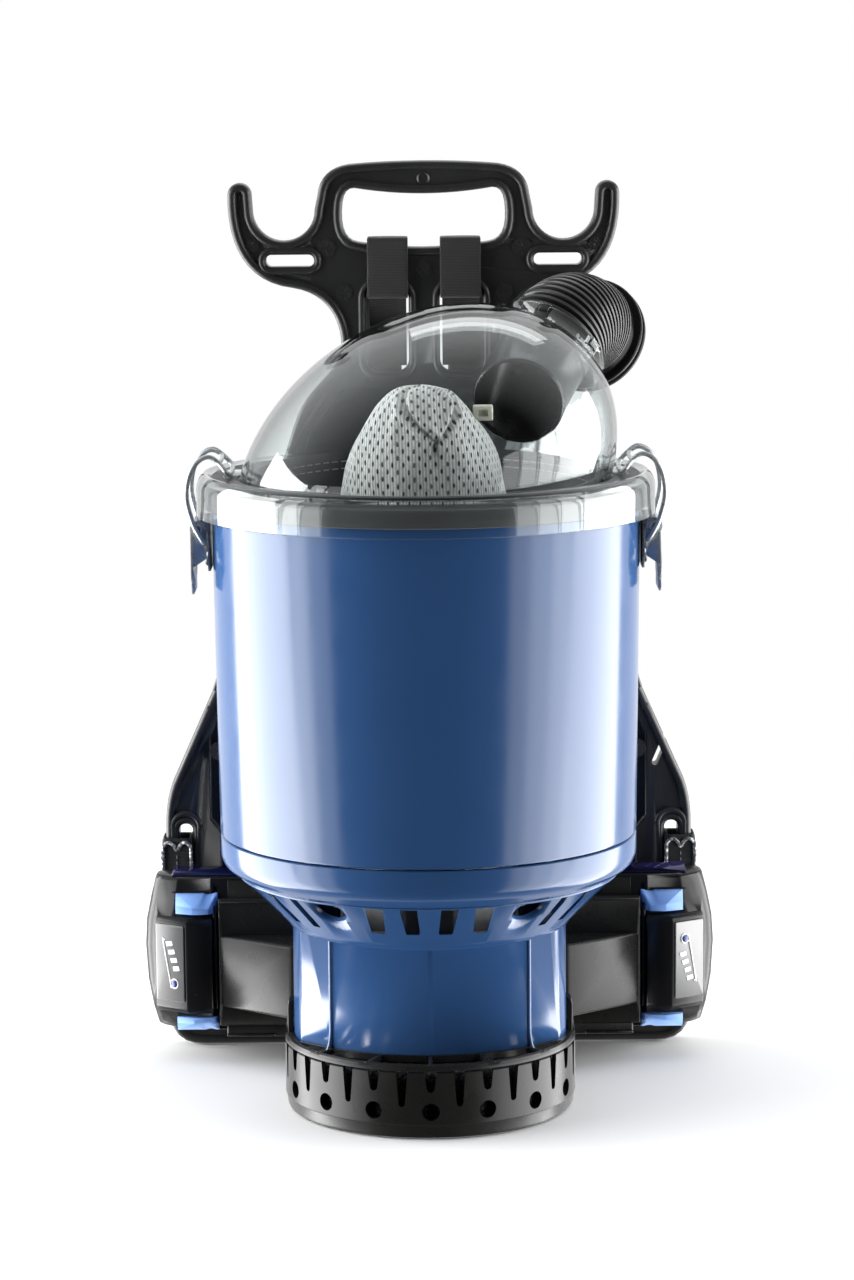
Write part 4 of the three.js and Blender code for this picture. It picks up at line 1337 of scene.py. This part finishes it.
def subdivided(points, step=3.0):
    """More points on a closed line, about a step apart."""
    result = []
    for a, b in zip(points, points[1:] + points[:1]):
        a, b = Vector(a), Vector(b)
        parts = max(1, round((b - a).length / step))
        result += [a.lerp(b, k / parts) for k in range(parts)]
    return result


def shoulder_band(name, side):
    middle, width = side * 23.3, 26
    line = loop_round(140.4, 490.6, 161.8, 527.6, 2.4)
    path = subdivided([(middle, y, z) for y, z in line])
    band = ribbon(f"shoulder_band_{name}", path, width, WEB, (1, 0, 0), 0.25)
    strap_map(band, (0, 0.6, 1), (1, 0, 0))
    fit(band, "base", "webbing", f"shoulder_band_{name}")
    loop_length(line)

    fold = []
    for k in range(9):
        t = k / 8
        z = 492 - 46 * t
        y = 141.2 + 12 * math.sin(t * TAU / 4)
        fold.append([(middle - 11.8 + 23.6 * s / 10, y + 1.6 * math.sin(TAU / 2 * s / 10) * (1 - t), z)
                     for s in range(11)])
    tail = skin(f"shoulder_strap_front_{name}", thick(fold, 1.4), caps=True, smooth=60)
    strap_map(tail, (0, 0.6, 1), (1, 0, 0))
    fit(tail, "base", "webbing")


def thick(lines, depth):
    """Close each open line of a sheet into a loop, with a depth towards +Y."""
    return [line + [(x, y + depth, z) for x, y, z in reversed(line)] for line in lines]


def loop_length(line):
    pairs = zip(line, line[1:] + line[:1])
    return sum(math.dist(a, b) for a, b in pairs) * MM


def belt_band(name, side):
    width, middle = 65, 106.5
    line = loop_round(155.7, 140.2, 173.2, 161.8, 2.2)
    path = subdivided([(side * x, y, middle) for x, y in line])
    band = ribbon(f"belt_band_{name}", path, width, WEB, (0, 0, 1))
    strap_map(band, (0, 0, 1), (1, 0.6, 0))
    fit(band, "base", "webbing", f"belt_band_{name}")
    loop_length(line)

    outline = [(155.2, 76), (155.2, 128), (156.2, 134.5), (159.4, 136.6), (162.2, 134.8), (164.4, 131.6),
               (166.6, 134.8), (169.6, 136.6), (172.6, 134.5), (173.8, 128), (173.8, 76)]
    edge = sweep(f"belt_edge_{name}", smooth_path([(side * x, 138.6, z) for x, z in outline], 6), 1.15, 10)
    fit(edge, "base", "lining")
    dashes = []
    for z in range(78, 128, 4):
        x = side * 164.5
        dashes.append(sweep("dash", [(x, 138.75, z), (x, 138.5, z + 1), (x, 138.75, z + 2)], 0.4, 6))
    fit(join(f"belt_stitching_{name}", *dashes), "base", "belt_thread")


for side_name, side_sign in SIDES:
    shoulder_band(side_name, side_sign)
    belt_band(side_name, side_sign)


# ------------------------------------------------------------------ pads and straps behind the frame
def quilted(name, outline, front, back, lines, steps=78):
    """A padded form: a flat front against the frame, a crowned back, and sewn channels across it.

    outline has the pad's low and high ends and functions for its half width and middle at a share
    of its height; lines are the heights of the channels."""
    crown = 0.95
    low, high = outline["low"], outline["high"]
    rows = []
    columns = 28
    for i in range(steps + 1):
        t = i / steps
        z = low + (high - low) * t
        end = min(1.0, math.sin(TAU / 2 * t) * 3.2) ** 0.5 if 0 < t < 1 else 0.06
        half, middle = outline["half"](t), outline["middle"](t)
        half *= 0.93 + 0.07 * end
        channel = min(abs(z - line) for line in lines)
        pinch = 1 - 0.55 * math.exp(-(channel / 3.2) ** 2)
        row = []
        for k in range(columns + 1):
            s = -1 + 2 * k / columns
            edge = (1 - abs(s) ** 3.2) ** 0.5
            side_seam = 1 - 0.3 * math.exp(-((abs(s) - 0.78) / 0.05) ** 2)
            depth = (back - front) * (0.16 + 0.84 * edge * end * pinch * side_seam) * crown
            row.append((middle + half * s, front + depth, z))
        front_row = [(x, front, z) for x, _, z in reversed(row)]
        rows.append(row + front_row)
    return skin(name, rows, smooth=75)


def swollen(obj, pressure, cap):
    """Blow the padding out with a short cloth run, and limit how far any point moves."""
    start = [v.co.copy() for v in obj.data.vertices]
    cloth = obj.copy()
    cloth.data = obj.data.copy()
    SCENE.collection.objects.link(cloth)
    modifier = cloth.modifiers.new("cloth", "CLOTH")
    modifier.settings.use_pressure = True
    modifier.settings.uniform_pressure_force = pressure
    modifier.settings.effector_weights.gravity = 0
    modifier.settings.tension_stiffness = 25
    modifier.settings.bending_stiffness = 3
    modifier.settings.quality = 5
    for step in range(1, 13):
        SCENE.frame_set(step)
    graph = bpy.context.evaluated_depsgraph_get()
    shaped = [v.co.copy() for v in cloth.evaluated_get(graph).data.vertices]
    bpy.data.objects.remove(cloth)
    SCENE.frame_set(1)
    for vertex, old, new in zip(obj.data.vertices, start, shaped):
        move = new - old
        if move.length > cap * MM:
            move = move.normalized() * cap * MM
        vertex.co = old + move
    obj.data.update()
    return obj


def back_pad():
    outline = {"low": 121, "high": 399, "middle": lambda t: 0,
               "half": lambda t: 61 - 3 * math.cos(t * TAU / 2) ** 2}
    pad = quilted("back_pad", outline, 160.6, 177.2, (175, 232, 289, 346))
    fit(swollen(pad, 1.6, 2.0), "base", "pad", "back_pad")
    edge = [(58.5, 126), (60, 260), (58.5, 394), (0, 398), (-58.5, 394), (-60, 260), (-58.5, 126),
            (0, 122.5)]
    route = smooth_path([(x, 163.0, z) for x, z in edge], 10, True)
    piping = sweep("back_pad_piping", route, 1.5, 10, True)
    fit(piping, "base", "webbing")


def shoulder_strap(name, side):
    """A padded strap that starts as a flat tongue at the crossbar and thickens down the pad."""
    spine = [(164.6, 513), (166.6, 498), (172, 462), (177.4, 430), (181.6, 408), (184.4, 396), (184.8, 360),
             (184.8, 300), (184.8, 230), (184.6, 180), (184.2, 152)]
    path = smooth_path([(side * 32, y, z) for y, z in spine], 7)
    rows, count = [], 28
    for i, point in enumerate(path):
        t = i / (len(path) - 1)
        tangent = (path[min(i + 1, len(path) - 1)] - path[max(i - 1, 0)]).normalized()
        out = Vector((1, 0, 0)).cross(tangent).normalized()
        half = 12.5 + 7 * min(1, t * 2.6)
        deep = 1.2 + 3.9 * min(1, max(0, t - 0.12) * 4) * (1 if t < 0.95 else (1 - t) / 0.05 * 0.7 + 0.3)
        row = []
        for k in range(count):
            flat = squarish(TAU * k / count, 0.45)
            seam = 1 - 0.22 * math.exp(-((abs(flat[0]) - 0.72) / 0.07) ** 2)
            row.append(tuple(point + Vector((half * flat[0], 0, 0)) + out * deep * flat[1] * seam))
        rows.append(row)
    strap = skin(f"shoulder_strap_{name}", rows, smooth=75)
    fit(swollen(strap, 0.6, 0.6), "base", "pad", f"shoulder_strap_{name}")
    web = []
    for i in range(30):
        t = i / 29
        z = 372 - 214 * t
        web.append([(side * 32 - 10 + 20 * s / 8, 189.9 + 0.25 * math.sin(z / 11), z) for s in range(9)])
    tape = skin(f"shoulder_strap_tape_{name}", thick(web, 1.1), smooth=60)
    strap_map(tape, (0, 0, 1), (1, 0, 0))
    fit(tape, "base", "webbing")


def hip_pad(name, side):
    outline = {"low": 71, "high": 139, "middle": lambda t: side * 116,
               "half": lambda t: 46.5 - 4 * (2 * t - 1) ** 4}
    pad = quilted(f"hip_pad_{name}", outline, 164.2, 177.0, (93.5, 116.5), 36)
    fit(swollen(pad, 1.2, 1.2), "base", "pad", f"hip_pad_{name}")


back_pad()
for side_name, side_sign in SIDES:
    shoulder_strap(side_name, side_sign)
    hip_pad(side_name, side_sign)


# ------------------------------------------------------------------ battery carrier
CARRIER = {"half": 135.8, "front": 93.0, "back": 141.7, "low": 17.5, "high": 108.5}


def battery_carrier():
    half, front, back, low, high = (CARRIER[k] for k in ("half", "front", "back", "low", "high"))
    body = block("battery_carrier", (-half, front, low + 7.5), (half, back, high), 1.1, 3)
    upper = block("upper", (-130, front + 4, high - 1), (130, back, 120.5), 1.0, 3)
    lower = block("lower", (-131, front + 1, low), (131, back, low + 8), 1.2, 3)
    plan = [(-half, front + 1), (-88, 58), (88, 58), (half, front + 1)]
    snout = soften(prism("snout", plan, 37.5, 85), 2.0, 3, 20)
    room = lathe("room", [(0, low), (90.8, low), (90.8, 130), (0, 130)], 128)
    cut(snout, room)
    fuse(body, upper, lower, snout)
    for _, side in SIDES:
        cut(body, side_block("bay", side, (12, front + 4.2, 21), (half + 2, 137, 130), 1.0))
    shade(body, 35)
    fit(body, "base", "black", "battery_carrier")
    for name, side in SIDES:
        for part, corner, opposite in (
            ("lip", (40, front - 0.9, high - 2.6), (half - 1.4, front + 0.6, high - 0.9)),
            ("edge", (100, front + 0.2, low + 0.4), (131, front + 3, low + 2.4)),
        ):
            strip = side_block(f"carrier_{part}_{name}", side, corner, opposite, 0.5)
            fit(strip, "base", "black")


battery_carrier()


# ------------------------------------------------------------------ battery packs
FACET = ((156.0, 88.5), (177.0, 102.0))
PACK = {"front": 97.6, "back": 136.6, "low": 21.6, "high": 121.5, "inner": 28.0, "outer": 184.0}


def battery_cap():
    """The moulded end: bowed at its outer side and chamfered towards the top and bottom."""
    front, back, outer = PACK["front"], PACK["back"], PACK["outer"]
    levels = ((22.0, 9.0, 3.0), (23.4, 7.6, 1.4), (34, 4.6, 0.3), (52, 1.4, 0), (75, 0, 0), (92, 1.0, 0),
              (107, 4.0, 0.3), (119.6, 7.2, 1.4), (121.5, 8.8, 3.0))
    rows = []
    for z, less, shy in levels:
        far = outer - less
        rows.append([(x, y, z) for x, y in (
            (138, front + shy), (166 - less * 0.6, front + shy), (far - 4, 106 + shy),
            (far - 0.6, 111 + shy), (far, 115 + shy), (far, 123),
            (far - 1.2, 127 - shy), (far - 12, back - shy), (138, back - shy),
        )])
    return soften(skin("cap", rows, smooth=30), 1.0, 2, 28)


def battery_nose():
    """The prow that carries the gauge, with sloping ends."""
    rows = []
    for z, less in ((33.5, 2.6), (36.4, 0.4), (38.5, 0), (91.5, 0), (94.0, 0.4), (96.5, 2.6)):
        slope = Vector((13.5, -21)).normalized() * -less
        facet = [(x + slope.x, y + slope.y, z) for x, y in FACET]
        rows.append([(139.5, 98.6, z), (139.5, 90.5 + less, z), *facet, (177 - less * 0.2, 112, z)])
    return soften(skin("nose", rows, smooth=30), 0.8, 2, 25)


def facet_matrix():
    """Local x along the gauge's facet, y up the facet and z out of it."""
    run = Vector((FACET[1][0] - FACET[0][0], FACET[1][1] - FACET[0][1], 0)).normalized()
    out = Vector((run.y, -run.x, 0))
    middle = Vector(((FACET[0][0] + FACET[1][0]) / 2, (FACET[0][1] + FACET[1][1]) / 2, 67)) + out * 0.3
    matrix = Matrix((run, Vector((0, 0, 1)), out)).transposed().to_4x4()
    return Matrix.Translation(middle * MM) @ matrix


def gauge(name, side):
    """A grey panel with a round test button and four stepped charge bars in a white outline.

    The pack on one side is turned over, so its button is at the bottom."""
    over = 1 if side > 0 else -1

    def place(obj, look, *nodes):
        fit(on_side(moved(obj, facet_matrix()), side), f"battery_{name}", look, *nodes)

    panel = soften(prism(f"battery_gauge_{name}", rounded(0.2, -0.4, 22.0, 50.0, 1.0), 0, 0.9), 0.3, 2)
    place(panel, "gauge", f"battery_gauge_{name}")

    def at(x, y):
        return x, y * over, 1.0

    points = [at(x, y) for x, y in ((3.6, -14.8), (4.6, -14.6), (4.9, -13.6))]
    points += [at(x, y) for x, y in arc(-3.4, 13.6, 2.9, 15, 330, 20)]
    line = sweep(f"gauge_outline_{name}", smooth_path(points, 3), 0.5, 8)
    place(line, "mark")
    bars = []
    for k in range(4):
        y = -13.4 + k * 5.3
        x = 3.0 - k * 1.75
        corners = [(x, y), (x - 4.6, y - 0.8), (x - 5.4, y + 2.0), (x - 0.7, y + 2.8)]
        bars.append(prism("bar", [(u, v * over) for u, v in corners][::over], 0.6, 1.25))
    place(join(f"gauge_bars_{name}", *bars), "mark")
    button = lathe(f"gauge_button_{name}", [(0, 0.4), (2.3, 0.4), (2.2, 1.5), (1.5, 1.9), (0, 2.0)], 32)
    shifted(button, -3.4, 13.6 * over, 0)
    place(button, "navy")


def latch_button(name, side, level):
    """A wedge that slopes towards the front, with a finger scoop down its inner half."""
    corners = [(163, 97.2, 112), (136, 97.2, 112), (163, 93.5, 104.5), (152, 89, 103.8), (142, 90, 102.5),
               (163, 97.2, 99.2), (163, 93.5, 99.2), (152, 89, 99.2), (142, 90, 99.2), (136, 97.2, 99.2)]
    mesh = bmesh.new()
    for corner in corners:
        mesh.verts.new(Vector(corner) * MM)
    bmesh.ops.convex_hull(mesh, input=mesh.verts)
    data = bpy.data.meshes.new("wedge")
    mesh.to_mesh(data)
    mesh.free()
    wedge = link("wedge", data)
    scoop = lathe("scoop", [(0, -14), (9.5, -14), (9.5, 14), (0, 14)], 64)
    cut(wedge, turned_to(scoop, (142.5, 87.0, 114.0), (-0.2, 0.66, 0.72)))
    soften(wedge, 0.6, 2, 22)
    if level == "bottom":
        moved(wedge, Matrix.Translation((0, 0, 0.1002)) @ Matrix.Diagonal((1, 1, -0.7, 1)))
        wedge.data.flip_normals()
    wedge.name = f"battery_button_{name}_{level}"
    on_side(wedge, side)
    fit(wedge, f"button_{name}_{level}", "button", f"battery_button_{name}_{level}")


def battery(name, side):
    inner, front, back, low, high = (PACK[k] for k in ("inner", "front", "back", "low", "high"))
    case = block("case", (inner, front, low), (141, back, high), 0.9)
    fuse(case, battery_cap(), battery_nose())
    groove = prism("groove", [(136.6, 95), (138.2, 95), (138.2, 98.8), (136.6, 98.8)], 30, 116)
    cut(case, groove)
    case.name = f"battery_case_{name}"
    shade(on_side(case, side), 30)
    fit(case, f"battery_{name}", "cap", f"battery_case_{name}")
    gauge(name, side)
    for level in ("top", "bottom"):
        latch_button(name, side, level)

    sticker = soften(prism("label", rounded(139, 117.5, 54, 29, 2.2), high + 0.3, high + 1.0), 0.25, 1)
    sticker.name = f"battery_label_{name}"
    fit(on_side(sticker, side), f"battery_{name}", "label", f"battery_label_{name}")
    line = [(x, y, 112.5) for x, y in ((143, 97.2), (150, 97.1), (160, 97.1), (165, 97.4))]
    seam = sweep(f"battery_seam_{name}", line, 0.5, 8)
    fit(on_side(seam, side), f"battery_{name}", "cap")
    strip = block(f"battery_strip_{name}", (136.9, 93.6, 36), (139.0, 97.7, 104), 0.5)
    fit(on_side(strip, side), f"battery_{name}", "cap")


for side_name, side_sign in SIDES:
    battery(side_name, side_sign)


# ------------------------------------------------------------------ CAD nodes kept as they are
KEPT = {
    "motor": ("motor_body",), "black": ("motor_plate", "motor_fan", "canister_saddle"),
    "seal": ("motor_seal", "lid_seal"), "board": ("control_board",),
    "brass": ("battery_contacts_right", "battery_contacts_left"),
}
for look, nodes in KEPT.items():
    for node in nodes:
        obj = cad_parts[node]
        for material_slot in obj.material_slots:
            material_slot.material = LOOKS[look][1]
